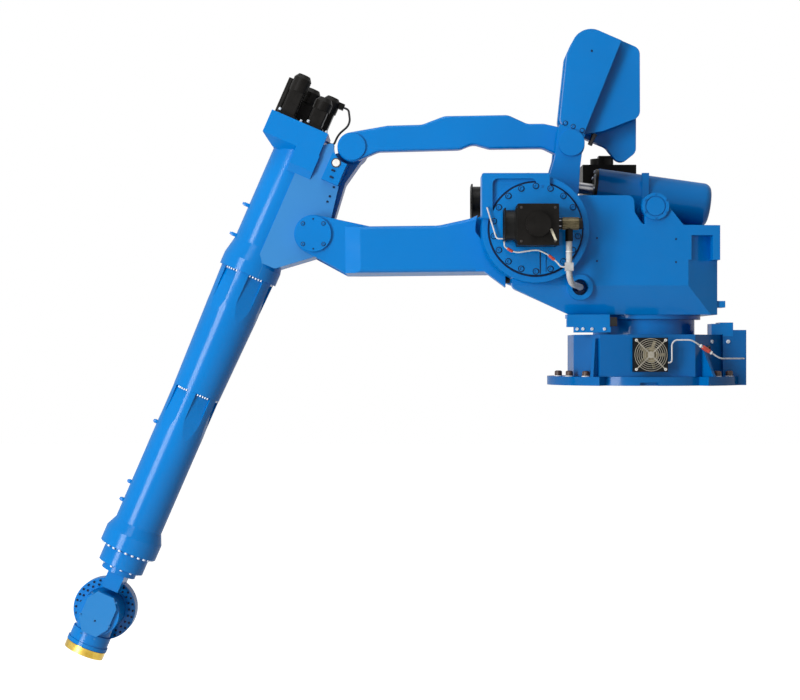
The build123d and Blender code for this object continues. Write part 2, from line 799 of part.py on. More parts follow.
# Round motor plate with its square ear, open at a window over the boss
with BuildPart() as near_motor_plate:
    recess_floor = boss_face + boss_recess_depth
    with BuildSketch(across(ground, boss_face)):
        with Locations(pad_middle):
            RectangleRounded(pad_left - pad_right, pad_top - pad_bottom, pad_corner)
        with Locations((-(window_left + window_right) / 2, (window_top + window_bottom) / 2)):
            RectangleRounded(window_left - window_right, window_top - window_bottom, window_corner,
                             mode=Mode.SUBTRACT)
        with Locations((-shoulder_offset, shoulder_height)):
            Circle(motor_plate_radius)
    extrude(amount=boss_face - plate_face)
    with BuildSketch(across(shoulder, recess_floor)):
        Circle(motor_plate_radius)
    extrude(amount=boss_recess_depth)
save(near_motor_plate.part, "near_motor_plate")

# Near motor with its end cap, its plug and its fan
plug_y = plate_face - near_motor_depth / 2
plug_z = shoulder_height + near_plug_rise
plug_x = -shoulder_offset + near_motor_size / 2
near_motor_spot = shoulder + Vector(0, 0, near_motor_rise)
with BuildPart() as near_motor:
    with BuildSketch(across(near_motor_spot, plate_face)):
        RectangleRounded(near_motor_size, near_motor_size, near_motor_corner)
    extrude(amount=near_motor_depth)
    with BuildSketch(across(near_motor_spot, plate_face - near_motor_depth)):
        Circle(near_motor_size * near_motor_cap_share)
    extrude(amount=near_motor_cap_depth)
    with BuildSketch(Plane(origin=(plug_x, plug_y, plug_z), x_dir=(0, 1, 0), z_dir=(1, 0, 0))):
        Circle(near_plug_radius)
    extrude(amount=near_plug_length)
    elbow_x = plug_x + near_plug_elbow
    with BuildSketch(Plane(origin=(elbow_x, plug_y, plug_z), x_dir=(1, 0, 0), z_dir=(0, 0, -1))):
        Circle(near_plug_elbow_radius)
    extrude(amount=near_plug_drop)
save(near_motor.part, "near_motor")

near_fan_spot = (-shoulder_offset - near_motor_size / 2, plate_face - near_motor_depth / 2, near_motor_spot.Z)
near_fan_seat = Plane(origin=near_fan_spot, x_dir=(0, 1, 0), z_dir=(-1, 0, 0))
save(fan_frame(near_fan_seat, near_fan_size, near_fan_depth), "near_fan_frame")
save(fan_rotor(near_fan_seat, near_fan_size, near_fan_depth), "near_fan_rotor")

# Conduit from the plug down and into the cable boss
conduit_start = Vector(plug_x + near_plug_elbow, plug_y, plug_z - near_plug_drop)
clip_z = conduit_start.Z - clip_drop
conduit_end = Vector(cable_hole_offset, near_face + cable_hole_depth, cable_hole_height)
with BuildPart() as conduit:
    with BuildLine() as conduit_route:
        FilletPolyline(tuple(conduit_start), (conduit_start.X, plug_y, cable_hole_height + conduit_dip),
                       (cable_hole_offset, near_face - cable_boss_depth - conduit_dip, cable_hole_height),
                       tuple(conduit_end), radius=conduit_bends)
    with BuildSketch(Plane(origin=tuple(conduit_start), x_dir=(1, 0, 0), z_dir=(0, 0, -1))):
        Circle(conduit_radius)
    sweep(path=conduit_route.line)
    with BuildSketch(Plane(origin=(conduit_start.X, plug_y, clip_z), x_dir=(1, 0, 0), z_dir=(0, 0, -1))):
        Rectangle(clip_size, clip_size)
    extrude(amount=clip_size)
save(conduit.part, "conduit")

# Thin lead from the near fan to the clip on the conduit
fan_lead_x = near_fan_spot[0] - near_fan_depth + near_fan_depth * fan_flange_share / 2
with BuildPart() as near_fan_lead:
    lead_start = (fan_lead_x, plug_y, near_fan_spot[2] - near_fan_size / 2)
    lead_low = near_fan_spot[2] - near_fan_size / 2 - near_lead_drop
    lead_turn = conduit_start.X - clip_size
    lead_end = clip_z - clip_size / 2
    with BuildLine() as near_lead_route:
        lead_sag = [(shoulder.X + step_x, plug_y, shoulder.Z + step_z) for step_x, step_z in near_lead_path]
        lead_run = [lead_start, (fan_lead_x, plug_y, lead_low), *lead_sag, (lead_turn, plug_y, lead_end),
                    (conduit_start.X - clip_size / 2, plug_y, lead_end)]
        FilletPolyline(*lead_run, radius=soft_bends(lead_run))
    with BuildSketch(Plane(origin=lead_start, x_dir=(1, 0, 0), z_dir=(0, 0, -1))):
        Circle(lead_radius)
    sweep(path=near_lead_route.line)
save(near_fan_lead.part, "near_fan_lead")

# Lead from the ear of the motor plate to the corner of the near fan
with BuildPart() as ear_lead:
    ear_start = (shoulder.X + ear_lead_seat[0], plate_face, shoulder.Z + ear_lead_seat[1])
    ear_y = near_fan_spot[1] + ear_lead_side
    ear_end_x = near_fan_spot[0] - near_fan_depth
    ear_end_z = near_fan_spot[2] - ear_lead_side
    with BuildLine() as ear_lead_route:
        ear_run = [ear_start, (ear_start[0], plate_face - ear_lead_out, ear_start[2]),
                   (shoulder.X + ear_lead_turn[0], ear_y, ear_end_z), (ear_end_x, ear_y, ear_end_z)]
        FilletPolyline(*ear_run, radius=soft_bends(ear_run))
    with BuildSketch(Plane(origin=ear_start, x_dir=(1, 0, 0), z_dir=(0, -1, 0))):
        Circle(lead_radius)
    sweep(path=ear_lead_route.line)
save(ear_lead.part, "ear_lead")

# Far gear cover, far motor and its fan
far_motor_spot = shoulder + Vector(far_motor_offset, 0, far_motor_rise)
with BuildPart() as far_cover:
    with BuildSketch(across(shoulder, swivel_half_width + far_cover_depth)):
        Circle(far_cover_radius)
        with Locations((far_motor_offset, far_motor_rise)):
            Rectangle(far_motor_size, far_motor_size)
    extrude(amount=far_cover_depth)
save(far_cover.part, "far_cover")
with BuildPart() as far_motor:
    with BuildSketch(across(far_motor_spot, swivel_half_width + far_cover_depth + far_motor_depth)):
        RectangleRounded(far_motor_size, far_motor_size, far_motor_size * motor_corner_share)
    extrude(amount=far_motor_depth)
save(far_motor.part, "far_motor")
far_fan_seat = Plane(origin=(far_motor_spot.X - far_motor_size / 2,
                             swivel_half_width + far_cover_depth + far_motor_depth / 2, far_motor_spot.Z),
                     x_dir=(0, 1, 0), z_dir=(-1, 0, 0))
save(fan_frame(far_fan_seat, far_fan_size, far_fan_depth), "far_fan_frame")
save(fan_rotor(far_fan_seat, far_fan_size, far_fan_depth), "far_fan_rotor")

# Slewing motor standing on the rear deck
with BuildPart() as slew_motor:
    with BuildSketch(Plane.XY.offset(deck_height)):
        with Locations((slew_motor_offset, (cheek_inner + deck_far) / 2)):
            RectangleRounded(slew_motor_foot, deck_far - cheek_inner, slew_motor_size * motor_corner_share)
    extrude(amount=slew_motor_foot_depth)
    with BuildSketch(Plane.XY.offset(deck_height)):
        with Locations((slew_motor_offset, (cheek_inner + deck_far) / 2)):
            RectangleRounded(slew_motor_size, deck_far - cheek_inner, slew_motor_size * motor_corner_share)
    extrude(amount=slew_motor_top - deck_height)
    with BuildSketch(Plane.XY.offset(slew_head_low)):
        with Locations((slew_motor_offset + slew_head_shift, (cheek_inner + deck_far) / 2)):
            Rectangle(slew_head_size, deck_far - cheek_inner)
    extrude(amount=slew_motor_top - slew_head_low)
    with BuildSketch(Plane.XY.offset(slew_motor_top)):
        with Locations((slew_motor_offset, (cheek_inner + deck_far) / 2)):
            Circle((deck_far - cheek_inner) / 2 * slew_motor_cap_share)
    extrude(amount=slew_motor_cap_height)
    with BuildSketch(Plane.XY.offset(slew_motor_top)):
        with Locations((slew_motor_offset + slew_plug_shift, (cheek_inner + deck_far) / 2)):
            Rectangle(slew_plug_width, slew_plug_width)
    extrude(amount=slew_plug_height)
save(slew_motor.part, "slew_motor")

# Lead of the base fan, over the body to the connector box
with BuildPart() as base_fan_lead:
    lead_x = base_fan_offset + base_fan_size / 2
    lead_y = -base_body_apothem - base_fan_depth + base_fan_depth * fan_flange_share / 2
    lead_start = (lead_x, lead_y, base_lead_start)
    with BuildLine() as base_lead_route:
        FilletPolyline(lead_start, (lead_x + base_lead_out, lead_y, base_lead_start),
                       (lead_x + base_lead_out, lead_y, base_lead_top),
                       (base_lead_turn, lead_y, base_lead_top),
                       (base_lead_mid[0], base_lead_mid[1], base_lead_low),
                       (base_lead_end[0], base_lead_end[1], base_lead_low),
                       (base_lead_end[0], -connector_box_width / 2, base_lead_low), radius=base_lead_bends)
    with BuildSketch(Plane(origin=lead_start, x_dir=(0, 1, 0), z_dir=(1, 0, 0))):
        Circle(lead_radius)
    sweep(path=base_lead_route.line)
save(base_fan_lead.part, "base_fan_lead")

# Stop bracket under the front of the swivel
with BuildPart() as stop_bracket:
    with BuildSketch(Plane.YZ.offset(stop_bracket_offset - stop_bracket_width / 2)):
        with BuildLine():
            bracket_back = near_face + stop_bracket_depth
            bracket_foot = near_face + stop_bracket_foot
            bracket_low = swivel_low - stop_bracket_height
            bracket_under = swivel_low - stop_bracket_plate
            Polyline((near_face, bracket_low), (bracket_back, bracket_low), (bracket_back, bracket_under),
                     (bracket_foot, bracket_under), (bracket_foot, swivel_low), (near_face, swivel_low),
                     close=True)
        make_face()
    extrude(amount=stop_bracket_width)
    with BuildSketch(across(ground, bracket_back)):
        with Locations((stop_plate_offset, bracket_low)):
            Rectangle(stop_plate_width, stop_plate_height, align=(Align.CENTER, Align.MAX))
    extrude(amount=stop_bracket_depth)
save(stop_bracket.part, "stop_bracket")

# Rubber stop block at the end of the bracket
with BuildPart() as stop_block:
    with BuildSketch(across(ground, near_face + stop_block_depth)):
        with Locations((stop_bracket_offset + stop_bracket_width / 2, swivel_low - stop_block_drop)):
            Rectangle(stop_block_width, stop_block_height, align=(Align.MIN, Align.MAX))
    extrude(amount=stop_block_depth)
save(stop_block.part, "stop_block")

# Lower arm: box body, hub, fork cheeks, stop wedge and balancer crank
with BuildPart() as lower_arm:
    with BuildSketch(level(shoulder, arm_half_width)):
        with BuildLine():
            FilletPolyline((-arm_body_start, arm_top), (-arm_body_start, -arm_bottom), (0, -arm_bottom),
                           (0, arm_hub_radius), (-arm_rise_lead, arm_rise), (-arm_hub_lead, arm_top),
                           close=True, radius=[0, 0, 0, 0, arm_blend, arm_blend])
        make_face()
    extrude(amount=arm_half_width + arm_half_width)
    fillet(lower_arm.edges().group_by(Axis.Y)[0], arm_edge)
    with BuildSketch(level(shoulder, hub_near)):
        Circle(arm_clear_radius)
    extrude(amount=arm_half_width + hub_near, mode=Mode.SUBTRACT)
    # Sloped faces where the body steps in to the fork
    arm_floor = shoulder - arm_up * arm_bottom
    with BuildSketch(Plane(origin=tuple(arm_floor), x_dir=tuple(arm_along), z_dir=tuple(arm_up))):
        for side in (-1, 1):
            with BuildLine():
                Polyline((-arm_body_start, side * arm_half_width),
                         (arm_facet - arm_body_start, side * arm_half_width),
                         (-arm_body_start, side * arm_cheek_outer), close=True)
            make_face()
    extrude(amount=arm_bottom + arm_top, mode=Mode.SUBTRACT)
    with BuildSketch(level(shoulder, arm_half_width)):
        Circle(arm_hub_radius)
    extrude(amount=arm_half_width - hub_near)
    fork_low = touch(arm_fork_length, -arm_bottom, arm_elbow_radius, -1)
    fork_high = touch(arm_fork_lead, arm_top, arm_elbow_radius, 1)
    for far_face in (arm_cheek_outer, arm_cheek_plate - arm_cheek_outer):
        with BuildSketch(level(elbow, far_face)):
            with BuildLine():
                Polyline(fork_high, (arm_fork_lead, arm_top), (arm_fork_lead, -arm_bottom),
                         (arm_fork_length, -arm_bottom), fork_low, close=True)
            make_face()
            Circle(arm_elbow_radius)
        extrude(amount=arm_cheek_plate)
    with BuildSketch(level(shoulder, -arm_half_width + stop_wedge_depth)):
        with BuildLine():
            Polyline((-stop_wedge_end, -arm_bottom), (-stop_wedge_end, -arm_bottom - stop_wedge_drop),
                     (-stop_wedge_end - stop_wedge_length, -arm_bottom), (-arm_clear_radius, -arm_bottom),
                     (-arm_clear_radius, 0), (-arm_hub_radius, -arm_hub_radius / 2), close=True)
        make_face()
        Circle(lever_hub_radius + side_gap + side_gap, mode=Mode.SUBTRACT)
    extrude(amount=stop_wedge_depth)
    crank_far = balancer_middle + balance_crank_gap / 2 + balance_crank_plate
    for far_face in (crank_far, balancer_middle - balance_crank_gap / 2):
        with BuildSketch(level(shoulder, far_face)):
            with BuildLine():
                Polyline((-arm_hub_radius / 2, 0), (arm_hub_radius / 2, 0),
                         (balance_crank_radius, balance_crank),
                         (-balance_crank_radius, balance_crank), close=True)
            make_face()
            with Locations((0, balance_crank)):
                Circle(balance_crank_radius)
        extrude(amount=balance_crank_plate)
    with BuildSketch(level(shoulder, arm_half_width)):
        Circle(shaft_radius + running_gap)
    extrude(amount=arm_half_width + arm_half_width, mode=Mode.SUBTRACT)
    with BuildSketch(level(elbow, arm_half_width)):
        Circle(elbow_pin_radius + running_gap)
    extrude(amount=arm_half_width + arm_half_width, mode=Mode.SUBTRACT)
save(lower_arm.part, "lower_arm")

with BuildPart() as elbow_covers:
    with BuildSketch(level(elbow, -arm_cheek_outer)):
        Circle(elbow_cover_radius)
    extrude(amount=elbow_cover_depth)
    with BuildSketch(level(elbow, arm_cheek_outer + elbow_cover_depth)):
        Circle(elbow_cover_radius)
    extrude(amount=elbow_cover_depth)
save(elbow_covers.part, "elbow_covers")

with BuildPart() as stop_bumper:
    bumper_spot = shoulder - arm_along * stop_wedge_end - arm_up * (arm_bottom + stop_wedge_drop / 2)
    with BuildSketch(Plane(origin=(bumper_spot.X, -arm_half_width + stop_wedge_depth / 2, bumper_spot.Z),
                           x_dir=(0, 1, 0), z_dir=tuple(arm_along))):
        Circle(bumper_height / 2)
    extrude(amount=bumper_depth)
save(stop_bumper.part, "stop_bumper")

with BuildPart() as elbow_pin:
    with BuildSketch(level(elbow, arm_cheek_outer - turntable_gap)):
        Circle(elbow_pin_radius)
    extrude(amount=arm_cheek_outer + arm_cheek_outer - turntable_gap - turntable_gap)
save(elbow_pin.part, "elbow_pin")

# Lever with a forked top that takes the link
with BuildPart() as lever:
    lever_points = [(share * lever_low_width, height * lever_length)
                    for share, height in zip(lever_right_shares, lever_height_shares)]
    lever_left = [(share * lever_low_width, height * lever_length)
                  for share, height in zip(lever_left_shares, lever_height_shares)]
    top_left = lever_left[-1][0]
    with BuildSketch(tilted(shoulder, lever_far)):
        with BuildLine():
            FilletPolyline((lever_hub_radius, 0), *lever_points, (top_left + lever_top_width, lever_length),
                           (top_left, lever_length), *lever_left[::-1], (-lever_hub_radius, 0), close=True,
                           radius=[0, lever_round, lever_round, lever_round, 0,
                                   0, lever_round, lever_round, lever_round, 0])
        make_face()
        Circle(lever_hub_radius)
    extrude(amount=lever_far - lever_near)
    with BuildSketch(tilted(shoulder, link_far + side_gap)):
        with Locations((0, lever_throat)):
            Rectangle(lever_length, lever_length, align=(Align.CENTER, Align.MIN))
    extrude(amount=link_thickness + side_gap + side_gap, mode=Mode.SUBTRACT)
    with BuildSketch(tilted(shoulder, lever_far)):
        Circle(shaft_radius + running_gap)
        with Locations((0, crank_length)):
            Circle(link_pin_radius + running_gap)
    extrude(amount=lever_far - lever_near, mode=Mode.SUBTRACT)
save(lever.part, "lever")


def weight_slab(shares, rounds, far_face, thickness):
    # One counterweight slab bolted on top of the lever
    points = [(x_share * weight_width, lever_length + w_share * weight_height) for x_share, w_share in shares]
    with BuildPart() as slab:
        with BuildSketch(tilted(shoulder, far_face)):
            with BuildLine():
                FilletPolyline(*points, close=True, radius=rounds)
            make_face()
        extrude(amount=thickness)
    return slab.part


weight_middle = link_thickness + side_gap + side_gap
save(weight_slab(weight_near_shares, weight_near_rounds, lever_near + fork_plate, fork_plate),
     "counterweight_near")
save(weight_slab(weight_middle_shares, weight_middle_rounds, lever_far - fork_plate, weight_middle),
     "counterweight_middle")
save(weight_slab(weight_far_shares, weight_far_rounds, lever_far, fork_plate), "counterweight_far")

with BuildPart() as link_pin:
    with BuildSketch(tilted(link_rear, lever_far)):
        Circle(link_pin_radius)
    extrude(amount=lever_far - lever_near)
    with BuildSketch(tilted(link_rear, lever_near - turntable_gap)):
        Circle(link_pin_head)
    extrude(amount=link_pin_head_depth)
    with BuildSketch(tilted(link_rear, lever_near)):
        Circle(link_pin_radius)
    extrude(amount=turntable_gap)
save(link_pin.part, "link_pin")

# Link rod from the lever to the forearm
with BuildPart() as link_rod:
    top = [(x_share * lower_arm_length, z_share * link_height) for x_share, z_share in link_top_shares]
    low = [(x_share * lower_arm_length, z_share * link_height) for x_share, z_share in link_bottom_shares]
    front_high = touch(*top[0], link_eye_radius, 1)
    front_low = touch(*low[-1], link_eye_radius, -1)
    rear_high = touch(top[-1][0] - lower_arm_length, top[-1][1], link_eye_radius, -1)
    rear_low = touch(low[0][0] - lower_arm_length, low[0][1], link_eye_radius, 1)
    rounds = [0] + [link_round] * len(top) + [0, 0] + [link_round] * len(low) + [0]
    with BuildSketch(level(link_front, link_far)):
        with BuildLine():
            FilletPolyline(front_high, *top, (rear_high[0] + lower_arm_length, rear_high[1]),
                           (rear_low[0] + lower_arm_length, rear_low[1]), *low, front_low,
                           close=True, radius=rounds)
        make_face()
        Circle(link_eye_radius)
        with Locations((lower_arm_length, 0)):
            Circle(link_eye_radius)
    extrude(amount=link_thickness)
    fillet(link_rod.edges().group_by(Axis.Y)[0], link_edge)
    fillet(link_rod.edges().group_by(Axis.Y)[-1], link_edge)
    with BuildSketch(level(link_front, link_far)):
        Circle(link_pin_radius + running_gap)
        with Locations((lower_arm_length, 0)):
            Circle(link_pin_radius + running_gap)
    extrude(amount=link_thickness, mode=Mode.SUBTRACT)
    with BuildSketch(level(link_front, link_near)):
        Circle(link_cap_radius)
    extrude(amount=link_cap_depth)
save(link_rod.part, "link_rod")

# Forearm casting: tube, elbow lug, link lug and motor box
forearm_axis = Axis(tuple(forearm_foot), tuple(tilt_up))
with BuildPart() as forearm_casting:
    with BuildSketch(tilted(forearm_foot, 0)):
        with BuildLine():
            Polyline((0, box_low), (tube_radius, box_low), (tube_radius, -tube_flare_start),
                     (tube_flare_radius, -tube_flare_end), (tube_flare_radius, -tube_joint_one),
                     (0, -tube_joint_one), close=True)
        make_face()
    revolve(axis=forearm_axis)
    # Near plate and the wider part behind it, which carries the link pin
    pocket_floor = link_far + side_gap
    with BuildSketch(tilted(forearm_foot, pocket_floor)):
        with BuildLine():
            FilletPolyline((casting_left, box_low), (casting_left, -casting_bottom),
                           (casting_bottom_inner, -casting_bottom), (casting_right, -casting_right_low),
                           *casting_near_edge, close=True,
                           radius=[0, casting_round / 2, casting_round, casting_round, casting_round,
                                   casting_round, casting_round, casting_round])
        make_face()
        with Locations((forearm_offset, 0)):
            Circle(casting_elbow_radius)
    extrude(amount=casting_half_width + pocket_floor)
    with BuildSketch(tilted(forearm_foot, casting_half_width)):
        with BuildLine():
            FilletPolyline((casting_left, box_low), (casting_left, -casting_bottom),
                           (casting_bottom_inner, -casting_bottom), (casting_right, -casting_right_low),
                           *casting_far_edge, (forearm_offset, crank_length), (casting_boss_right, box_low),
                           close=True,
                           radius=[0, casting_round / 2, casting_round, casting_round, casting_round,
                                   casting_round, 0, 0, 0])
        make_face()
        with Locations((forearm_offset, 0)):
            Circle(casting_elbow_radius)
        with Locations((forearm_offset, crank_length)):
            Circle(link_lug_radius)
    extrude(amount=casting_half_width - pocket_floor)
    # Motor box with its sloped skirt, and the boss below it
    with BuildSketch(forearm_section(box_low)):
        with Locations((motor_box_shift, 0)):
            Rectangle(motor_box_width, motor_box_depth)
    extrude(amount=motor_box_height)
    with BuildSketch(forearm_section(box_low)):
        with Locations((motor_box_shift, 0)):
            Rectangle(motor_box_width, motor_box_depth)
    extrude(amount=-motor_box_skirt, taper=motor_box_taper)
    boss_side = forearm_foot + tilt_right * casting_boss_left
    with BuildSketch(Plane(origin=tuple(boss_side), x_dir=(0, 1, 0), z_dir=tuple(tilt_right))):
        with BuildLine():
            Polyline((-casting_boss_face, box_low), (-casting_boss_face, casting_boss_low),
                     (-casting_half_width, casting_boss_foot), (0, casting_boss_foot), (0, box_low),
                     close=True)
        make_face()
    extrude(amount=casting_boss_right - casting_boss_left)
    # Room for the link eye, its pin, the elbow bore and the tube bore
    with BuildSketch(tilted(link_front, pocket_floor)):
        Circle(link_clear_radius)
    extrude(amount=casting_half_width + casting_half_width, mode=Mode.SUBTRACT)
    with BuildSketch(tilted(link_front, pocket_floor)):
        Circle(link_pin_radius)
    extrude(amount=link_thickness + side_gap - turntable_gap)
    with BuildSketch(tilted(elbow, casting_half_width)):
        Circle(elbow_pin_radius + running_gap)
    extrude(amount=casting_half_width + casting_half_width, mode=Mode.SUBTRACT)
    with BuildSketch(forearm_section(-tube_joint_one)):
        Circle(tube_bore)
    extrude(amount=tube_joint_one, mode=Mode.SUBTRACT)
save(forearm_casting.part, "forearm_casting")

with BuildPart() as forearm_panel:
    with BuildSketch(tilted(forearm_foot, -casting_half_width)):
        with Locations(((panel_left + panel_right) / 2, (panel_low + panel_high) / 2)):
            Rectangle(panel_right - panel_left, panel_high - panel_low)
        with Locations((forearm_offset, crank_length)):
            Circle(link_clear_radius, mode=Mode.SUBTRACT)
    extrude(amount=panel_depth)
save(forearm_panel.part, "forearm_panel")


def joint_pocket(number, station, joint_radius, run_radius):
    # Side outline of one sloped bolt pocket below a tube joint, on a plane through the forearm axis
    angle = radians(pocket_angle + number * 360 / pocket_count)
    outward = tilt_right * cos(angle) + Vector(0, sin(angle), 0)
    aside = Vector(0, cos(angle), 0) - tilt_right * sin(angle)
    spot = forearm_foot - tilt_up * station
    beyond = joint_radius + pocket_depth
    with BuildSketch(Plane(origin=tuple(spot), x_dir=tuple(outward), z_dir=tuple(-aside))) as outline:
        with BuildLine():
            Polyline((joint_radius - pocket_depth, 0), (run_radius, -pocket_run), (beyond, -pocket_run),
                     (beyond, 0), close=True)
        make_face()
    return outline.sketch


# Middle and lower tube with sloped bolt pockets below their upper joints
mid_slope = (tube_low_radius - tube_mid_radius) / (tube_joint_two - tube_joint_one)
mid_run = tube_mid_radius + mid_slope * pocket_run
with BuildPart() as forearm_mid:
    with BuildSketch(tilted(forearm_foot, 0)):
        with BuildLine():
            Polyline((tube_bore, -tube_joint_one), (tube_mid_radius, -tube_joint_one),
                     (tube_low_radius, -tube_joint_two), (tube_bore, -tube_joint_two), close=True)
        make_face()
    revolve(axis=forearm_axis)
    for number in range(pocket_count):
        pocket = joint_pocket(number, tube_joint_one, tube_mid_radius, mid_run)
        extrude(pocket, amount=pocket_width / 2, both=True, mode=Mode.SUBTRACT)
save(forearm_mid.part, "forearm_mid")

with BuildPart() as forearm_low:
    with BuildSketch(tilted(forearm_foot, 0)):
        with BuildLine():
            Polyline((tube_bore, -tube_joint_two), (tube_low_radius, -tube_joint_two),
                     (tube_low_radius, tube_neck_lead - tube_end),
                     (tube_end_radius, tube_end_lead - tube_end),
                     (tube_end_radius, -tube_end), (tube_bore, -tube_end), close=True)
        make_face()
    revolve(axis=forearm_axis)
    for number in range(pocket_count):
        pocket = joint_pocket(number, tube_joint_two, tube_low_radius, tube_low_radius)
        extrude(pocket, amount=pocket_width / 2, both=True, mode=Mode.SUBTRACT)
save(forearm_low.part, "forearm_low")

# Four wrist motors on the motor box, each with a flange, a body and a domed cap
plug_high = motor_box_top + wrist_motor_heights[3] - wrist_plug_drop
for number in range(len(wrist_motor_heights)):
    motor_middle = (wrist_motor_across[number], wrist_motor_depth[number])
    body_height = wrist_motor_heights[number] * wrist_motor_body_share
    with BuildPart() as wrist_motor:
        with BuildSketch(forearm_section(motor_box_top)):
            with Locations(motor_middle):
                RectangleRounded(wrist_motor_flange, wrist_motor_flange,
                                 wrist_motor_flange * motor_corner_share)
        extrude(amount=wrist_motor_flange_depth)
        with BuildSketch(forearm_section(motor_box_top)):
            with Locations(motor_middle):
                RectangleRounded(wrist_motor_size, wrist_motor_size, wrist_motor_size * motor_corner_share)
        extrude(amount=body_height)
        with BuildSketch(forearm_section(motor_box_top + body_height)):
            with Locations(motor_middle):
                Circle(wrist_motor_cap / 2)
        extrude(amount=wrist_motor_heights[number] - wrist_motor_dome - body_height)
        with BuildSketch(forearm_section(motor_box_top + wrist_motor_heights[number] - wrist_motor_dome)):
            with Locations(motor_middle):
                Circle(wrist_motor_cap / 2)
        extrude(amount=wrist_motor_dome, taper=wrist_motor_dome_taper)
        if number == 0:
            with BuildSketch(forearm_section(motor_box_top)):
                with Locations(wrist_stalk):
                    Circle(wrist_stalk_radius)
            extrude(amount=wrist_stalk_height)
        if number == 3:
            plug_side = forearm_foot + tilt_right * wrist_motor_across[3] + tilt_up * plug_high
            with BuildSketch(Plane(origin=tuple(plug_side), x_dir=(0, 1, 0), z_dir=tuple(tilt_right))):
                with Locations((wrist_motor_depth[3], 0)):
                    Rectangle(wrist_plug_size, wrist_plug_size)
            extrude(amount=wrist_plug_end - wrist_motor_across[3])
    save(wrist_motor.part, "wrist_motor_" + str(number + 1))

# Lead that loops from the plug into the side of the motor box
box_right = motor_box_shift + motor_box_width / 2
lead_out = wrist_plug_end + motor_lead_out
lead_drop = motor_box_top - motor_lead_low
lead_loop = [(v, motor_box_top + w) for v, w in motor_lead_path]
lead_line = [tuple(forearm_foot + tilt_right * v + tilt_up * w + Vector(0, wrist_motor_depth[3], 0))
             for v, w in ((wrist_plug_end, plug_high), (lead_out, plug_high), *lead_loop,
                          (lead_loop[-1][0], lead_drop), (box_right, lead_drop))]
with BuildPart() as wrist_motor_lead:
    with BuildLine() as motor_lead_route:
        FilletPolyline(*lead_line, radius=soft_bends(lead_line))
    with BuildSketch(Plane(origin=lead_line[0], x_dir=(0, 1, 0), z_dir=tuple(tilt_right))):
        Circle(motor_lead_radius)
    sweep(path=motor_lead_route.line)
save(wrist_motor_lead.part, "wrist_motor_lead")

# Wrist housing that rolls about the forearm
with BuildPart() as wrist_housing:
    with BuildSketch(tilted(forearm_foot, 0)):
        with BuildLine():
            Polyline((0, -tube_end - turntable_gap), (wrist_ring_radius, -tube_end - turntable_gap),
                     (wrist_ring_radius, -wrist_ring_end), (wrist_step_radius, -wrist_ring_end),
                     (wrist_step_radius, -wrist_step_end), (0, -wrist_step_end), close=True)
        make_face()
    revolve(axis=forearm_axis)
    with BuildSketch(tilted(wrist_centre, wrist_disc_far)):
        Circle(wrist_disc_radius)
    extrude(amount=wrist_disc_far - wrist_disc_near)
    with BuildSketch(tilted(wrist_centre, wrist_disc_far)):
        with Locations((0, wrist_disc_radius / 2)):
            Rectangle(wrist_neck_width, forearm_length - wrist_ring_end - wrist_disc_radius / 2,
                      align=(Align.CENTER, Align.MIN))
    extrude(amount=wrist_disc_far - wrist_disc_near)
    with BuildSketch(tilted(wrist_centre, wrist_disc_far)):
        with Locations((0, wrist_neck_end)):
            Rectangle(wrist_neck_width, forearm_length - wrist_ring_end - wrist_neck_end,
                      align=(Align.CENTER, Align.MIN))
    extrude(amount=wrist_disc_far - wrist_neck_near)
    with BuildSketch(tilted(wrist_centre, wrist_disc_near)):
        Circle(wrist_pin_radius)
    extrude(amount=wrist_disc_near)
save(wrist_housing.part, "wrist_housing")

# Wrist block that bends, its cover and the tool unit
tool_axis = Axis(tuple(wrist_centre), tuple(tilt_up))
with BuildPart() as wrist_block:
    block_far = wrist_disc_near - turntable_gap
    with BuildSketch(tilted(wrist_centre, block_far)):
        Circle(wrist_block_radius)
    extrude(amount=block_far - wrist_block_near)
    with BuildSketch(tilted(wrist_centre, 0)):
        with BuildLine():
            Polyline((0, 0), (wrist_neck_radius, 0), (wrist_neck_radius, -wrist_block_radius),
                     (0, -wrist_block_radius), close=True)
        make_face()
    revolve(axis=tool_axis)
    with BuildSketch(tilted(wrist_centre, wrist_disc_near)):
        Circle(wrist_pin_radius + running_gap)
    extrude(amount=wrist_disc_near + running_gap, mode=Mode.SUBTRACT)
save(wrist_block.part, "wrist_block")

with BuildPart() as wrist_cover:
    with BuildSketch(tilted(wrist_centre, wrist_block_near)):
        with BuildLine():
            Polyline(*wrist_cover_outline, close=True)
        make_face()
    extrude(amount=wrist_cover_depth)
save(wrist_cover.part, "wrist_cover")

with BuildPart() as tool_unit:
    with BuildSketch(tilted(wrist_centre, 0)):
        with BuildLine():
            Polyline((0, -wrist_block_radius), (tool_unit_radius, -wrist_block_radius),
                     (tool_unit_radius, -tool_unit_end), (0, -tool_unit_end), close=True)
        make_face()
    revolve(axis=tool_axis)
save(tool_unit.part, "tool_unit")

with BuildPart() as tool_flange:
    with BuildSketch(tilted(wrist_centre, 0)):
        with BuildLine():
            Polyline((0, -tool_unit_end - turntable_gap),
                     (tool_flange_radius, -tool_unit_end - turntable_gap),
                     (tool_flange_radius, -tool_length), (0, -tool_length), close=True)
        make_face()
    revolve(axis=tool_axis)
    flange_face = Plane(origin=tuple(wrist_centre - tilt_up * tool_length),
                        x_dir=tuple(tilt_right), z_dir=tuple(tilt_up))
    with BuildSketch(flange_face):
        with PolarLocations(tool_bolt_circle / 2, tool_bolts):
            Circle(tool_bolt_hole / 2)
    extrude(amount=tool_length - tool_unit_end - turntable_gap, mode=Mode.SUBTRACT)
    with BuildSketch(flange_face):
        Circle(tool_pilot_radius)
    extrude(amount=tool_pilot_depth, mode=Mode.SUBTRACT)
save(tool_flange.part, "tool_flange")

# Balancer cylinder on its trunnion, and its rod
balance_line = trunnion + balance_up * balancer_rise
balance_pin = shoulder + Vector(0, 0, balance_crank)


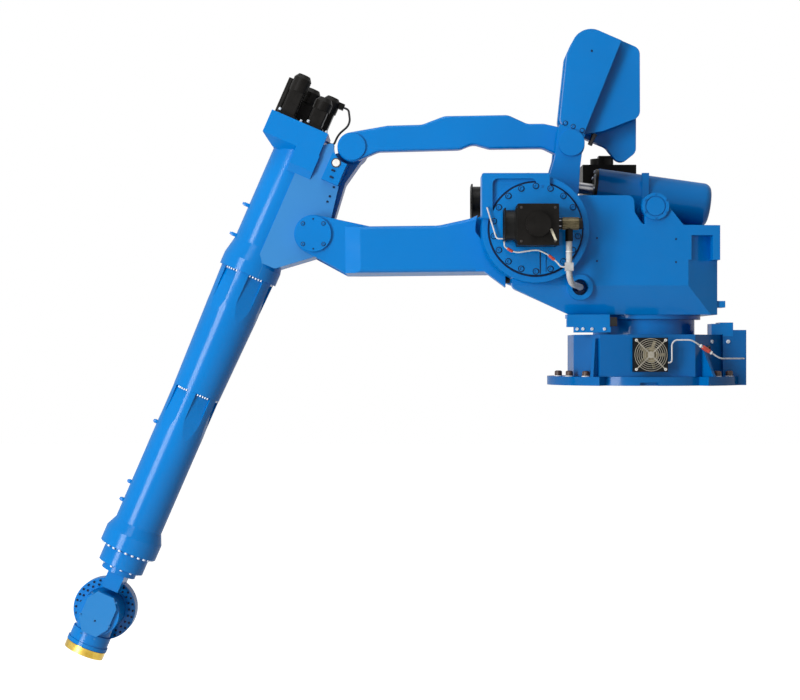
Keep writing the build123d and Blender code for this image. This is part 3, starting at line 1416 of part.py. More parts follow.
def balance_section(distance):
    # A plane across the balancer, facing the rear
    spot = balance_line + balance_along * distance
    return Plane(origin=(spot.X, balancer_middle, spot.Z), x_dir=(0, 1, 0), z_dir=tuple(balance_along))


with BuildPart() as balancer_cylinder:
    with BuildSketch(balance_section(balancer_front)):
        Circle(balancer_radius)
    extrude(amount=balancer_rear - balancer_front)
    rear_edges = balancer_cylinder.edges().group_by(Axis(tuple(balance_line), tuple(balance_along)))[-1]
    fillet(rear_edges, balancer_round)
    with BuildSketch(across(trunnion, balancer_middle + balancer_saddle)):
        Circle(trunnion_cap_radius)
        with Locations((0, balancer_rise / 2)):
            Rectangle(trunnion_cap_radius + trunnion_cap_radius, balancer_rise)
    extrude(amount=balancer_saddle + balancer_saddle)
    with BuildSketch(across(trunnion, balancer_strap_far)):
        Rectangle(balancer_strap, balancer_rise + balancer_radius, align=(Align.CENTER, Align.MIN))
    extrude(amount=balancer_strap_far - balancer_strap_near)
    with BuildSketch(across(trunnion, swivel_half_width - side_gap)):
        Circle(trunnion_radius)
    extrude(amount=swivel_half_width + swivel_half_width - side_gap)
    with BuildSketch(balance_section(balancer_front)):
        Circle(balancer_rod_radius + running_gap)
    extrude(amount=balancer_bore_depth, mode=Mode.SUBTRACT)
save(balancer_cylinder.part, "balancer_cylinder")

with BuildPart() as balancer_rod:
    reach_to_pin = (balance_pin - balance_line).dot(balance_along)
    with BuildSketch(balance_section(reach_to_pin)):
        Circle(balancer_rod_radius)
    extrude(amount=balancer_front - reach_to_pin + side_gap + side_gap)
    eye_spot = balance_line + balance_along * reach_to_pin
    with BuildSketch(across(eye_spot, balancer_middle + balancer_eye_plate / 2)):
        Circle(balancer_eye_radius)
    extrude(amount=balancer_eye_plate)
save(balancer_rod.part, "balancer_rod")
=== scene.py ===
# %% [markdown]
# # A shelf-mounted robot arm
# The solids of the arm come from the imported model and stay exactly where they are.
# This lesson lights them, gives every surface a finish, and models the small things
# that a solid model leaves off: screws, washers, sleeves, lugs and ties. Dark rings, discs and strips
# are painted shade in seats, holes, a groove and a channel, and a few enamels paint a sheen or shade.

# %% Load the imported arm
import math
import bmesh
import bpy
from mathutils import Matrix, Vector


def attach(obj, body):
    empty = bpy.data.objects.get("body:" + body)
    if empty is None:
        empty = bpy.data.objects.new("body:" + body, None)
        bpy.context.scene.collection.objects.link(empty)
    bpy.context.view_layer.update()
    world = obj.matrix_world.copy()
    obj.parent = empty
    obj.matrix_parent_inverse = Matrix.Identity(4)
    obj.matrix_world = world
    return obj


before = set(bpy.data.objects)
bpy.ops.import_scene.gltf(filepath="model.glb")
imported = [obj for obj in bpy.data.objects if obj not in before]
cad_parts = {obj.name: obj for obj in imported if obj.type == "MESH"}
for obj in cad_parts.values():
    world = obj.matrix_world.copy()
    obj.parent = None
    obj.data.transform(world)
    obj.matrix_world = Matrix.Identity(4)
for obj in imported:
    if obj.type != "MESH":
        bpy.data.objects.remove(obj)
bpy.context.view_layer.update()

scene = bpy.context.scene
scene.view_settings.view_transform = "Standard"

# %% [markdown]
# ## The camera
# The picture was taken level, from straight in front of the near side, at about nine metres.
# A long lens at that distance keeps the arm's outline nearly flat, as in the picture.

# %% Camera
camera_data = bpy.data.cameras.new("camera")
camera_data.sensor_fit = "HORIZONTAL"
camera_data.sensor_width = 36.0
camera_data.lens = 86.9
camera = bpy.data.objects.new("camera", camera_data)
camera.location = (-1.1347, -9.0, 0.1603)
camera.rotation_euler = (math.radians(90), 0, 0)
scene.collection.objects.link(camera)
scene.camera = camera
print("lens", camera_data.lens)

# %% [markdown]
# ## The studio
# Large machines are photographed in a white cove. The Light Path node tells the rays apart:
# a ray from the camera, a reflection or a glass sees the cove as white, and a ray that lights
# the paint sees only a little of it, so the lamps do the lighting and the blue stays deep.
# The floor does the same, is pale, and keeps the soft shadow.

# %% World
world = bpy.data.worlds.new("studio")
scene.world = world
world.use_nodes = True
tree = world.node_tree
tree.nodes.clear()


def math_node(tree, operation, first, second):
    """One Math node; first and second are sockets or plain numbers."""
    node = tree.nodes.new("ShaderNodeMath")
    node.operation = operation
    for place, value in enumerate((first, second)):
        if isinstance(value, (int, float)):
            node.inputs[place].default_value = value
        else:
            tree.links.new(value, node.inputs[place])
    return node.outputs[0]


def shown_rays(tree):
    """One for a ray from the camera, a reflection or a glass, and nought for any other."""
    rays = tree.nodes.new("ShaderNodeLightPath").outputs
    direct = math_node(tree, "MAXIMUM", rays["Is Camera Ray"], rays["Is Glossy Ray"])
    return math_node(tree, "MAXIMUM", direct, rays["Is Transmission Ray"])


ambient_share = 0.12
path = tree.nodes.new("ShaderNodeLightPath")
ambient = math_node(tree, "MULTIPLY", path.outputs["Is Diffuse Ray"], ambient_share)
level = math_node(tree, "MAXIMUM", shown_rays(tree), ambient)
backdrop = tree.nodes.new("ShaderNodeBackground")
backdrop.inputs["Color"].default_value = (1, 1, 1, 1)
tree.links.new(level, backdrop.inputs["Strength"])
world_out = tree.nodes.new("ShaderNodeOutputWorld")
tree.links.new(backdrop.outputs[0], world_out.inputs["Surface"])
print("world nodes", len(tree.nodes))


# %% Floor
def clear():
    """Leave nothing selected, so that an operator acts on the new piece alone."""
    if bpy.context.object and bpy.context.object.mode != "OBJECT":
        bpy.ops.object.mode_set(mode="OBJECT")
    bpy.ops.object.select_all(action="DESELECT")


floor_depth = -1.75
floor_white = 0.93
clear()
bpy.ops.mesh.primitive_grid_add(x_subdivisions=8, y_subdivisions=8, size=60, location=(0, 0, floor_depth))
floor = bpy.context.object
floor.name = "floor"
floor_finish = bpy.data.materials.new("pale_floor")
floor_finish.use_nodes = True
floor_tree = floor_finish.node_tree
floor_shader = floor_tree.nodes["Principled BSDF"]
floor_shader.inputs["Base Color"].default_value = (0.66, 0.66, 0.67, 1)
floor_shader.inputs["Roughness"].default_value = 0.9
floor_shader.inputs["Emission Color"].default_value = (1, 1, 1, 1)
floor_glow = math_node(floor_tree, "MULTIPLY", shown_rays(floor_tree), floor_white)
floor_tree.links.new(floor_glow, floor_shader.inputs["Emission Strength"])
floor.data.materials.append(floor_finish)
print("floor at", floor_depth)

# %% [markdown]
# ## The lamps
# A tall soft box on the left is the main light: it lights the flat faces and draws the long
# highlight down the round tubes. One overhead lights the top faces. A weak one high in front
# fills the shadows, and stands so high that a flat face sends its mirror image to the floor
# and not to the camera, which keeps the blue deep.

# %% Lamps
aim = Vector((-1.15, 0.0, 0.35))


def soft_box(name, place, width, height, power):
    """One area lamp turned towards the middle of the arm."""
    lamp_data = bpy.data.lights.new(name, "AREA")
    lamp_data.shape = "RECTANGLE"
    lamp_data.size = width
    lamp_data.size_y = height
    lamp_data.energy = power
    lamp = bpy.data.objects.new(name, lamp_data)
    lamp.location = place
    lamp.rotation_euler = (aim - Vector(place)).to_track_quat("-Z", "Y").to_euler()
    scene.collection.objects.link(lamp)


soft_box("left_box", (-6.2, -6.0, 0.8), 2.4, 5.0, 540)
soft_box("top_box", (-1.6, -1.6, 5.6), 5.0, 3.0, 140)
soft_box("front_box", (-2.6, -6.5, 5.2), 3.4, 2.0, 84)

# %% [markdown]
# ## Places on the arm
# The forearm and the lever lean, so a point on them is easier to give along and across the
# forearm than in world axes. These helpers turn such places, in millimetres, into metres.

# %% Skeleton places
MM = 0.001
shoulder = Vector((-0.530, 0.0, 0.700))
droop = math.radians(0.6)
tilt = math.radians(23.5)
elbow = shoulder - Vector((math.cos(droop), 0, math.sin(droop)))
lean_up = Vector((math.sin(tilt), 0, math.cos(tilt)))
lean_right = Vector((math.cos(tilt), 0, -math.sin(tilt)))
forearm_foot = elbow - lean_right * 0.218
wrist_centre = forearm_foot - lean_up * 2.0
RIGHT = Vector((1, 0, 0))
NEAR = Vector((0, -1, 0))
FAR = Vector((0, 1, 0))
UP = Vector((0, 0, 1))


def on_forearm(right, depth, up):
    """A place on the forearm: right of its axis, across, and up from its foot."""
    return forearm_foot + lean_right * (right * MM) + lean_up * (up * MM) + Vector((0, depth * MM, 0))


def on_lever(right, depth, up):
    """A place on the lever and its weights, from the shoulder."""
    return shoulder + lean_right * (right * MM) + lean_up * (up * MM) + Vector((0, depth * MM, 0))


def on_wrist(right, depth, up):
    """A place on the wrist, from its bending axis."""
    return wrist_centre + lean_right * (right * MM) + lean_up * (up * MM) + Vector((0, depth * MM, 0))


def at(x, y, z):
    """A plain place in millimetres."""
    return Vector((x, y, z)) * MM


def ring(centre, across, upward, radius, count, start):
    """Places evenly round a circle; across and upward span its plane, start is in degrees."""
    places = []
    for number in range(count):
        angle = math.radians(start + number * 360 / count)
        places.append(centre + (across * math.cos(angle) + upward * math.sin(angle)) * (radius * MM))
    return places


print("wrist centre", [round(v, 4) for v in wrist_centre])

# %% [markdown]
# ## Finishes
# Each finish is a small node tree on Object coordinates, so a pattern stays with the piece.
# Every tree has a slow change of colour, a change of roughness and a fine bump, because a
# single flat colour never looks like paint, rubber or metal. Castings have soft edges that
# catch the light, so the painted ones also take a Bevel node under the bump. An enamel's gloss
# is all in its clear coat, so its own shine is nought and the coat takes the roughness.


# %% A finish from two colours, a roughness range and a grain
pattern_low = 0.3
pattern_high = 0.7
rough_finer = 6
bump_depth = 0.001


def noise(nodes, links, coords, scale, detail):
    """A noise pattern on Object coordinates; gives its value socket."""
    pattern = nodes.new("ShaderNodeTexNoise")
    pattern.inputs["Scale"].default_value = scale
    pattern.inputs["Detail"].default_value = detail
    links.new(coords.outputs["Object"], pattern.inputs["Vector"])
    return pattern.outputs["Fac"]


def make_finish(name, dark, light, patch, rough, grain, bump, metal=0.0, coat=0.0, shine=0.5, edge=0.0):
    """Two ends of a colour, a roughness range, and the fineness of the patches and the grain."""
    finish = bpy.data.materials.new(name)
    finish.use_nodes = True
    nodes = finish.node_tree.nodes
    links = finish.node_tree.links
    shader = nodes["Principled BSDF"]
    coords = nodes.new("ShaderNodeTexCoord")
    ramp = nodes.new("ShaderNodeValToRGB")
    ramp.name = "tone"
    ramp.color_ramp.elements[0].position = pattern_low
    ramp.color_ramp.elements[1].position = pattern_high
    ramp.color_ramp.elements[0].color = (*dark, 1)
    ramp.color_ramp.elements[1].color = (*light, 1)
    links.new(noise(nodes, links, coords, patch, 4), ramp.inputs["Fac"])
    links.new(ramp.outputs["Color"], shader.inputs["Base Color"])
    spread = nodes.new("ShaderNodeMapRange")
    spread.inputs["From Min"].default_value = pattern_low
    spread.inputs["From Max"].default_value = pattern_high
    spread.inputs["To Min"].default_value = rough[0]
    spread.inputs["To Max"].default_value = rough[1]
    links.new(noise(nodes, links, coords, patch * rough_finer, 6), spread.inputs["Value"])
    links.new(spread.outputs[0], shader.inputs["Roughness"])
    relief = nodes.new("ShaderNodeBump")
    relief.inputs["Strength"].default_value = bump
    relief.inputs["Distance"].default_value = bump_depth
    links.new(noise(nodes, links, coords, grain, 3), relief.inputs["Height"])
    if edge:
        rounding = nodes.new("ShaderNodeBevel")
        rounding.samples = 4
        rounding.inputs["Radius"].default_value = edge
        links.new(rounding.outputs[0], relief.inputs["Normal"])
    links.new(relief.outputs["Normal"], shader.inputs["Normal"])
    shader.inputs["Metallic"].default_value = metal
    shader.inputs["Specular IOR Level"].default_value = shine
    shader.inputs["Coat Weight"].default_value = coat
    if coat:
        links.new(spread.outputs[0], shader.inputs["Coat Roughness"])
    return finish


# %% Paints
paint_patch = 2.2
face_skin = 0.4 * MM
deep_blue = ((0.0, 0.172, 0.52), (0.0, 0.188, 0.565))
# The first paler pair is a painted sheen: it stands for a soft box's reflection on the forearm's near
# plate.
plate_sheen_blue = ((0.035, 0.21, 0.50), (0.045, 0.23, 0.545))
# The second paler pair is a painted sheen: it stands for a soft box's reflection on the wrist cover.
cover_sheen_blue = ((0.014, 0.19, 0.49), (0.022, 0.205, 0.53))
# The darker base pair is painted shade: the base takes less light than the arm above it.
base_shade_blue = ((0.0, 0.118, 0.375), (0.0, 0.130, 0.415))


def enamel(name, colours):
    """One of the arm's enamels: the same clear coat and grain over a pair of colours."""
    return make_finish(name, *colours, paint_patch, rough=(0.12, 0.2), grain=330, bump=0.03, coat=0.35,
                       shine=0.0, edge=0.004)


blue_enamel = enamel("blue_enamel", deep_blue)
# This paler enamel is a painted sheen of a soft box, on the same clear coat.
painted_sheen_enamel = enamel("painted_sheen_enamel", cover_sheen_blue)
base_shade_enamel = enamel("base_shade_enamel", base_shade_blue)
# The forearm casting's enamel also carries the near plate's painted sheen, added below.
forearm_enamel_and_sheen = enamel("forearm_enamel_and_sheen", deep_blue)


def paint_plate_sheen(finish, colours, face, left):
    """Paint a soft box's sheen as a paler pair of colours on the flat face at one depth, right of one
    place.
    """
    tree = finish.node_tree
    nodes = tree.nodes
    coords = nodes.new("ShaderNodeTexCoord")
    parts = nodes.new("ShaderNodeSeparateXYZ")
    tree.links.new(coords.outputs["Object"], parts.inputs[0])
    across = nodes.new("ShaderNodeVectorMath")
    across.operation = "DOT_PRODUCT"
    across.inputs[1].default_value = lean_right
    tree.links.new(coords.outputs["Object"], across.inputs[0])
    beside = math_node(tree, "GREATER_THAN", across.outputs["Value"], lean_right.dot(left))
    in_front = math_node(tree, "LESS_THAN", parts.outputs["Y"], face + face_skin)
    behind = math_node(tree, "GREATER_THAN", parts.outputs["Y"], face - face_skin)
    on_face = math_node(tree, "MULTIPLY", in_front, behind)
    pale = nodes.new("ShaderNodeValToRGB")
    pale.color_ramp.elements[0].color = (*colours[0], 1)
    pale.color_ramp.elements[1].color = (*colours[1], 1)
    tree.links.new(noise(nodes, tree.links, coords, paint_patch, 4), pale.inputs["Fac"])
    mix = nodes.new("ShaderNodeMix")
    mix.data_type = "RGBA"
    tree.links.new(math_node(tree, "MULTIPLY", on_face, beside), mix.inputs["Factor"])
    tree.links.new(nodes["tone"].outputs["Color"], mix.inputs["A"])
    tree.links.new(pale.outputs["Color"], mix.inputs["B"])
    tree.links.new(mix.outputs["Result"], nodes["Principled BSDF"].inputs["Base Color"])


# The forearm's near plate takes a painted sheen: a paler blue stands for a soft box's reflection on it.
paint_plate_sheen(forearm_enamel_and_sheen, plate_sheen_blue, -127 * MM, on_forearm(25, 0, 0))
print("paints", len(bpy.data.materials) - 1)

# %% Metals, plastics and rubber
motor_black = make_finish("motor_black", (0.003, 0.0025, 0.002), (0.010, 0.009, 0.008),
                          patch=14, rough=(0.34, 0.5), grain=260, bump=0.15, shine=0.1, edge=0.002)
satin_black = make_finish("satin_black", (0.003, 0.003, 0.003), (0.009, 0.009, 0.008),
                          patch=22, rough=(0.3, 0.45), grain=420, bump=0.1, shine=0.12)
bronze_rotor = make_finish("bronze_rotor", (0.20, 0.165, 0.09), (0.36, 0.31, 0.19),
                           patch=18, rough=(0.4, 0.6), grain=300, bump=0.08)
fan_metal = make_finish("fan_metal", (0.27, 0.25, 0.20), (0.42, 0.39, 0.32),
                        patch=30, rough=(0.3, 0.45), grain=500, bump=0.08, metal=0.4)
ground_steel = make_finish("ground_steel", (0.34, 0.34, 0.35), (0.52, 0.52, 0.53),
                           patch=26, rough=(0.25, 0.4), grain=640, bump=0.1, metal=1.0)
zinc_bolt = make_finish("zinc_bolt", (0.50, 0.55, 0.60), (0.70, 0.75, 0.80),
                        patch=60, rough=(0.25, 0.4), grain=700, bump=0.08, metal=0.3)
dark_bolt = make_finish("dark_bolt", (0.010, 0.008, 0.008), (0.030, 0.022, 0.020),
                        patch=60, rough=(0.35, 0.5), grain=700, bump=0.12)
brown_bolt = make_finish("brown_bolt", (0.030, 0.014, 0.010), (0.075, 0.036, 0.026),
                         patch=60, rough=(0.4, 0.55), grain=700, bump=0.12)
# This near-black blue is painted shade: it stands for the shade in holes, seats, grooves and a channel, and
# round small clips and screws.
painted_shade_blue = make_finish("painted_shade_blue", (0.0, 0.010, 0.035), (0.001, 0.018, 0.06),
                          patch=60, rough=(0.5, 0.7), grain=500, bump=0.1, shine=0.2)
gold_chromate = make_finish("gold_chromate", (0.38, 0.24, 0.03), (0.68, 0.49, 0.11),
                            patch=16, rough=(0.2, 0.36), grain=420, bump=0.08, metal=1.0)
stop_rubber = make_finish("stop_rubber", (0.006, 0.006, 0.006), (0.014, 0.014, 0.014),
                          patch=40, rough=(0.6, 0.75), grain=900, bump=0.2, shine=0.25)
white_plastic = make_finish("white_plastic", (0.72, 0.71, 0.68), (0.84, 0.83, 0.80),
                            patch=40, rough=(0.35, 0.5), grain=600, bump=0.05)
cream_card = make_finish("cream_card", (0.62, 0.58, 0.42), (0.74, 0.70, 0.55),
                         patch=60, rough=(0.5, 0.65), grain=600, bump=0.08)
grey_wrap = make_finish("grey_wrap", (0.40, 0.40, 0.40), (0.60, 0.60, 0.59),
                        patch=30, rough=(0.45, 0.6), grain=260, bump=0.25)
pale_sheath = make_finish("pale_sheath", (0.52, 0.52, 0.53), (0.70, 0.70, 0.70),
                          patch=50, rough=(0.4, 0.55), grain=500, bump=0.1)
black_sheath = make_finish("black_sheath", (0.01, 0.01, 0.01), (0.025, 0.024, 0.023),
                           patch=50, rough=(0.4, 0.55), grain=500, bump=0.12)
red_sleeve = make_finish("red_sleeve", (0.42, 0.035, 0.02), (0.66, 0.09, 0.05),
                         patch=80, rough=(0.35, 0.5), grain=500, bump=0.1)
olive_brass = make_finish("olive_brass", (0.055, 0.045, 0.022), (0.13, 0.105, 0.055),
                          patch=60, rough=(0.35, 0.5), grain=500, bump=0.2, metal=0.7)
print("finishes", len(bpy.data.materials))

# %% [markdown]
# ## Finishes on the solids
# Most of the arm is one blue enamel. The motors, fans, pins, leads and the tool flange differ,
# so a short table names those, and everything else is blue.

# %% Give every solid its finish
solid_finish = {
    "near_motor": motor_black, "far_motor": motor_black, "slew_motor": motor_black,
    "wrist_motor_1": motor_black, "wrist_motor_2": motor_black, "wrist_motor_3": motor_black,
    "wrist_motor_4": motor_black, "base_fan_frame": satin_black, "near_fan_frame": satin_black,
    "far_fan_frame": satin_black, "base_fan_rotor": bronze_rotor, "near_fan_rotor": satin_black,
    "far_fan_rotor": satin_black, "base_fan_guard": fan_metal, "shoulder_shaft": ground_steel,
    "elbow_pin": ground_steel, "balancer_rod": ground_steel, "tool_flange": gold_chromate,
    "stop_bumper": stop_rubber, "stop_block": stop_rubber, "conduit": grey_wrap,
    "near_fan_lead": pale_sheath, "base_fan_lead": pale_sheath, "ear_lead": pale_sheath,
    "wrist_motor_lead": black_sheath,
    # The base's darker enamel is painted shade.
    "base_body": base_shade_enamel, "base_plate": base_shade_enamel, "connector_box": base_shade_enamel,
    # The wrist cover's paler enamel is a painted sheen; the forearm casting carries one on its near plate.
    "wrist_cover": painted_sheen_enamel, "forearm_casting": forearm_enamel_and_sheen,
}
for node_name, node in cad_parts.items():
    coat_of = solid_finish.get(node_name, blue_enamel)
    if node.data.materials:
        for place in range(len(node.data.materials)):
            node.data.materials[place] = coat_of
    else:
        node.data.materials.append(coat_of)
print("blue solids", sum(1 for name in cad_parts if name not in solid_finish))

# %% [markdown]
# ## Master pieces
# A screw, a flat ring, a hexagon bolt, a sleeve, a knurled collar, a clamp lug and a small plate
# are each modelled once, one unit in size, from a primitive in edit mode. The screw's top face
# is bevelled, inset and pushed down for its key. The ring is a disc whose two inset faces are
# bridged. The collar's every second side is inset and raised, which reads as knurling.


# %% Edit-mode helpers
def pick_faces(test):
    """In edit mode, select just the faces whose middle and normal pass the test."""
    bpy.ops.mesh.select_mode(type="FACE")
    bpy.ops.mesh.select_all(action="DESELECT")
    mesh = bmesh.from_edit_mesh(bpy.context.object.data)
    for face in mesh.faces:
        if test(face.calc_center_median(), face.normal):
            face.select_set(True)
    bmesh.update_edit_mesh(bpy.context.object.data)


def start_piece(name):
    """Name the primitive that was just added and go to edit mode."""
    piece = bpy.context.object
    piece.name = name
    piece.data.name = name
    bpy.ops.object.mode_set(mode="EDIT")
    return piece


def round_stock(name, sides):
    """A cylinder of radius 1 and height 1 standing on z = 0, open for editing."""
    clear()
    bpy.ops.mesh.primitive_cylinder_add(vertices=sides, radius=1, depth=1, location=(0, 0, 0.5))
    return start_piece(name)


def block_stock(name):
    """A cube of side 1 standing on z = 0, open for editing."""
    clear()
    bpy.ops.mesh.primitive_cube_add(size=1, location=(0, 0, 0.5))
    return start_piece(name)


def master_done(piece):
    """Leave edit mode and put the master's place into its mesh."""
    bpy.ops.object.mode_set(mode="OBJECT")
    bpy.ops.object.transform_apply(location=True, rotation=True, scale=True)
    return piece


def on_top(middle, normal):
    """The faces that look up, at the top of the stock."""
    return normal.z > 0.9 and middle.z > 0.4


def on_ends(middle, normal):
    """The faces at both ends of the stock."""
    return abs(normal.z) > 0.9


# %% Screw, hexagon bolt and sleeve
screw_master = round_stock("screw_master", 12)
pick_faces(on_top)
bpy.ops.mesh.bevel(offset=0.12, segments=2, affect="EDGES")
pick_faces(on_top)
bpy.ops.mesh.inset(thickness=0.38, depth=0)
bpy.ops.mesh.extrude_region_move(TRANSFORM_OT_translate={"value": (0, 0, -0.5)})
master_done(screw_master)

hexagon_master = round_stock("hexagon_master", 6)
pick_faces(on_top)
bpy.ops.mesh.bevel(offset=0.1, segments=2, affect="EDGES")
pick_faces(lambda middle, normal: normal.z < -0.9)
bpy.ops.mesh.extrude_region_move(TRANSFORM_OT_translate={"value": (0, 0, 0.0)})
bpy.ops.transform.resize(value=(1.25, 1.25, 1))
bpy.ops.mesh.extrude_region_move(TRANSFORM_OT_translate={"value": (0, 0, -0.2)})
bpy.ops.mesh.select_all(action="SELECT")
bpy.ops.transform.translate(value=(0, 0, 0.2))
bpy.ops.transform.resize(value=(1, 1, 1 / 1.2), center_override=(0, 0, 0))
bpy.ops.mesh.normals_make_consistent(inside=False)
master_done(hexagon_master)

sleeve_master = round_stock("sleeve_master", 20)
pick_faces(on_ends)
bpy.ops.mesh.bevel(offset=0.08, segments=2, affect="EDGES")
pick_faces(on_ends)
bpy.ops.mesh.inset(thickness=0.2, depth=-0.02)
master_done(sleeve_master)
print("masters so far", 3)


# %% Rings, collar, lug and plate
def flat_ring(name, sides, hole):
    """A ring of radius 1 and height 1 with a hole of the given share."""
    piece = round_stock(name, sides)
    pick_faces(on_ends)
    bpy.ops.mesh.inset(thickness=1 - hole, depth=0)
    bpy.ops.mesh.bridge_edge_loops()
    return master_done(piece)


washer_master = flat_ring("washer_master", 24, 0.5)
rim_master = flat_ring("rim_master", 64, 0.93)
recess_master = flat_ring("recess_master", 20, 0.78)
groove_inner = 205.6
groove_outer = 213.4
groove_master = flat_ring("groove_master", 72, groove_inner / groove_outer)
flange_master = flat_ring("flange_master", 48, 0.36)

collar_sides = 28


def on_knurl(middle, normal):
    """Every second side of the collar."""
    turns = math.atan2(middle.y, middle.x) / math.radians(360 / collar_sides)
    return abs(normal.z) < 0.1 and round(turns - 0.5) % 2 == 0


collar_master = round_stock("collar_master", collar_sides)
pick_faces(on_knurl)
bpy.ops.mesh.inset(thickness=0.03, depth=0.05, use_individual=True)
pick_faces(on_ends)
bpy.ops.mesh.inset(thickness=0.15, depth=0.03)
master_done(collar_master)

lug_master = block_stock("lug_master")
pick_faces(on_top)
bpy.ops.mesh.inset(thickness=0.16, depth=0)
bpy.ops.mesh.extrude_region_move(TRANSFORM_OT_translate={"value": (0, 0, 0.35)})
bpy.ops.mesh.select_all(action="SELECT")
bpy.ops.mesh.bevel(offset=0.05, segments=2, affect="EDGES")
master_done(lug_master)

plate_master = block_stock("plate_master")
bpy.ops.mesh.select_all(action="SELECT")
bpy.ops.mesh.bevel(offset=0.12, segments=2, affect="EDGES")
master_done(plate_master)
masters = [screw_master, hexagon_master, sleeve_master, washer_master, rim_master, recess_master,
           groove_master, flange_master, collar_master, lug_master, plate_master]
print("masters", {item.name: len(item.data.polygons) for item in masters})


# %% Setting copies on their places
def settle(piece, body, finish):
    """Put the piece's place into its mesh, give it a finish and let it ride on its body."""
    clear()
    piece.select_set(True)
    bpy.context.view_layer.objects.active = piece
    bpy.ops.object.transform_apply(location=True, rotation=True, scale=True)
    bpy.ops.object.shade_smooth_by_angle(angle=math.radians(35))
    piece.data.materials.clear()
    piece.data.materials.append(finish)
    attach(piece, body)


def set_copies(master, name, places, axis, size, body, finish, side=None):
    """Copy the master onto each place, z along axis and x along side, and join the copies."""
    axis = axis.normalized()
    if side:
        turn = Matrix((side, axis.cross(side), axis)).transposed().to_4x4()
    else:
        turn = axis.to_track_quat("Z", "Y").to_matrix().to_4x4()
    scale = Matrix.Diagonal((size[0] * MM, size[-2] * MM, size[-1] * MM, 1))
    copies = []
    for place in places:
        copy = master.copy()
        copy.data = master.data.copy()
        copy.matrix_world = Matrix.Translation(place) @ turn @ scale
        scene.collection.objects.link(copy)
        copies.append(copy)
    clear()
    for copy in copies:
        copy.select_set(True)
    bpy.context.view_layer.objects.active = copies[0]
    if len(copies) > 1:
        bpy.ops.object.join()
    piece = bpy.context.view_layer.objects.active
    piece.name = name
    piece.data.name = name
    settle(piece, body, finish)


print("copying ready")

# %% [markdown]
# ## The shoulder
# The near motor hangs on a round plate held by eighteen socket screws, each in a spot-faced
# seat, and a dark ring under each head is painted shade in the seat. A dark ring in the groove round
# the plate is painted shade, and a dark strip beside a raised bar is the painted shadow of a channel's
# wall. The plug has a knurled collar and a grey nut, and the fan's thin lead has two red splices.

# %% Motor plate
plate_places = ring(shoulder + at(0, -408.5, 0), RIGHT, UP, 190, 18, 90)
set_copies(screw_master, "motor_plate_screws", plate_places, NEAR, (10.5, 6), "swivel", blue_enamel)
# A dark ring under each screw head is painted shade in its seat.
set_copies(recess_master, "motor_plate_seat_shade", plate_places, NEAR, (14.5, 1.2), "swivel", painted_shade_blue)
# A dark ring in the groove round the plate is painted shade.
set_copies(groove_master, "motor_plate_groove_shade", [shoulder + at(0, -384, 0)], NEAR, (groove_outer, 4),
           "swivel", painted_shade_blue)
set_copies(screw_master, "motor_plate_pin", [at(-501.6, -408.5, 889)], NEAR, (6, 3), "swivel", blue_enamel)
# A dark strip is the painted shadow of a channel's wall beside the raised bar.
set_copies(plate_master, "motor_plate_channel_shadow", [at(-511, -408.5, 551)], NEAR, (5, 104, 1.2), "swivel",
           painted_shade_blue, RIGHT)
set_copies(plate_master, "motor_plate_bar", [at(-488, -408.5, 553)], NEAR, (5, 88, 4), "swivel",
           blue_enamel, RIGHT)
print("plate screws", len(plate_places))

# %% Near motor, its plug and lead
set_copies(screw_master, "near_motor_screws",
           [at(-530 + a, -558.5, 710 + b) for a in (-74, 74) for b in (-74, 74)], NEAR, (6, 3), "swivel",
           dark_bolt)
tag_along = (at(-452, 0, 637) - at(-475, 0, 691)).normalized()
set_copies(plate_master, "paper_tag", [at(-463.5, -558.5, 664)], NEAR, (58, 10, 1.6), "swivel", cream_card,
           tag_along)
set_copies(collar_master, "plug_collar", [at(-419, -483.5, 718)], RIGHT, (27, 72), "swivel", olive_brass)
set_copies(hexagon_master, "plug_nut", [at(-438, -483.5, 718)], RIGHT, (26, 14), "swivel", ground_steel)
set_copies(sleeve_master, "lead_splice_1", [at(-661, -483.5, 608)], at(47.6, 0, -28), (6.5, 26), "swivel",
           red_sleeve)
set_copies(sleeve_master, "lead_splice_2", [at(-478, -483.5, 577.6)], at(40, 0, -32), (6.5, 30), "swivel",
           red_sleeve)
set_copies(sleeve_master, "conduit_ties", [at(-389, -483.5, height) for height in (640, 592)], UP,
           (14.8, 5), "swivel", white_plastic)
print("plug and lead dressed")

# %% Swivel casting
cheek_places = [at(-250.4, -330, 663), at(-250.4, -330, 559.8), at(104.3, -330, 658.6),
                at(104.3, -330, 555)]
# Dark discs are painted shade in the cheek's holes.
set_copies(screw_master, "cheek_hole_shade", cheek_places, NEAR, (4.5, 1.5), "swivel", painted_shade_blue)
set_copies(screw_master, "stop_bracket_bolts", [at(x, -330, 254.6) for x in (-340, -313.6, -273, -217)],
           NEAR, (7, 5), "swivel", zinc_bolt)
set_copies(screw_master, "trunnion_cap_screws", ring(at(12, -344, 805), RIGHT, UP, 54, 6, 30), NEAR,
           (4.5, 3), "swivel", blue_enamel)
print("swivel dressed")

# %% [markdown]
# ## The base
# Big brown-black socket bolts with bright washers hold the foot plate to its shelf. The fan has a
# pale screw in each corner, and its lead has a red splice between two white ties.

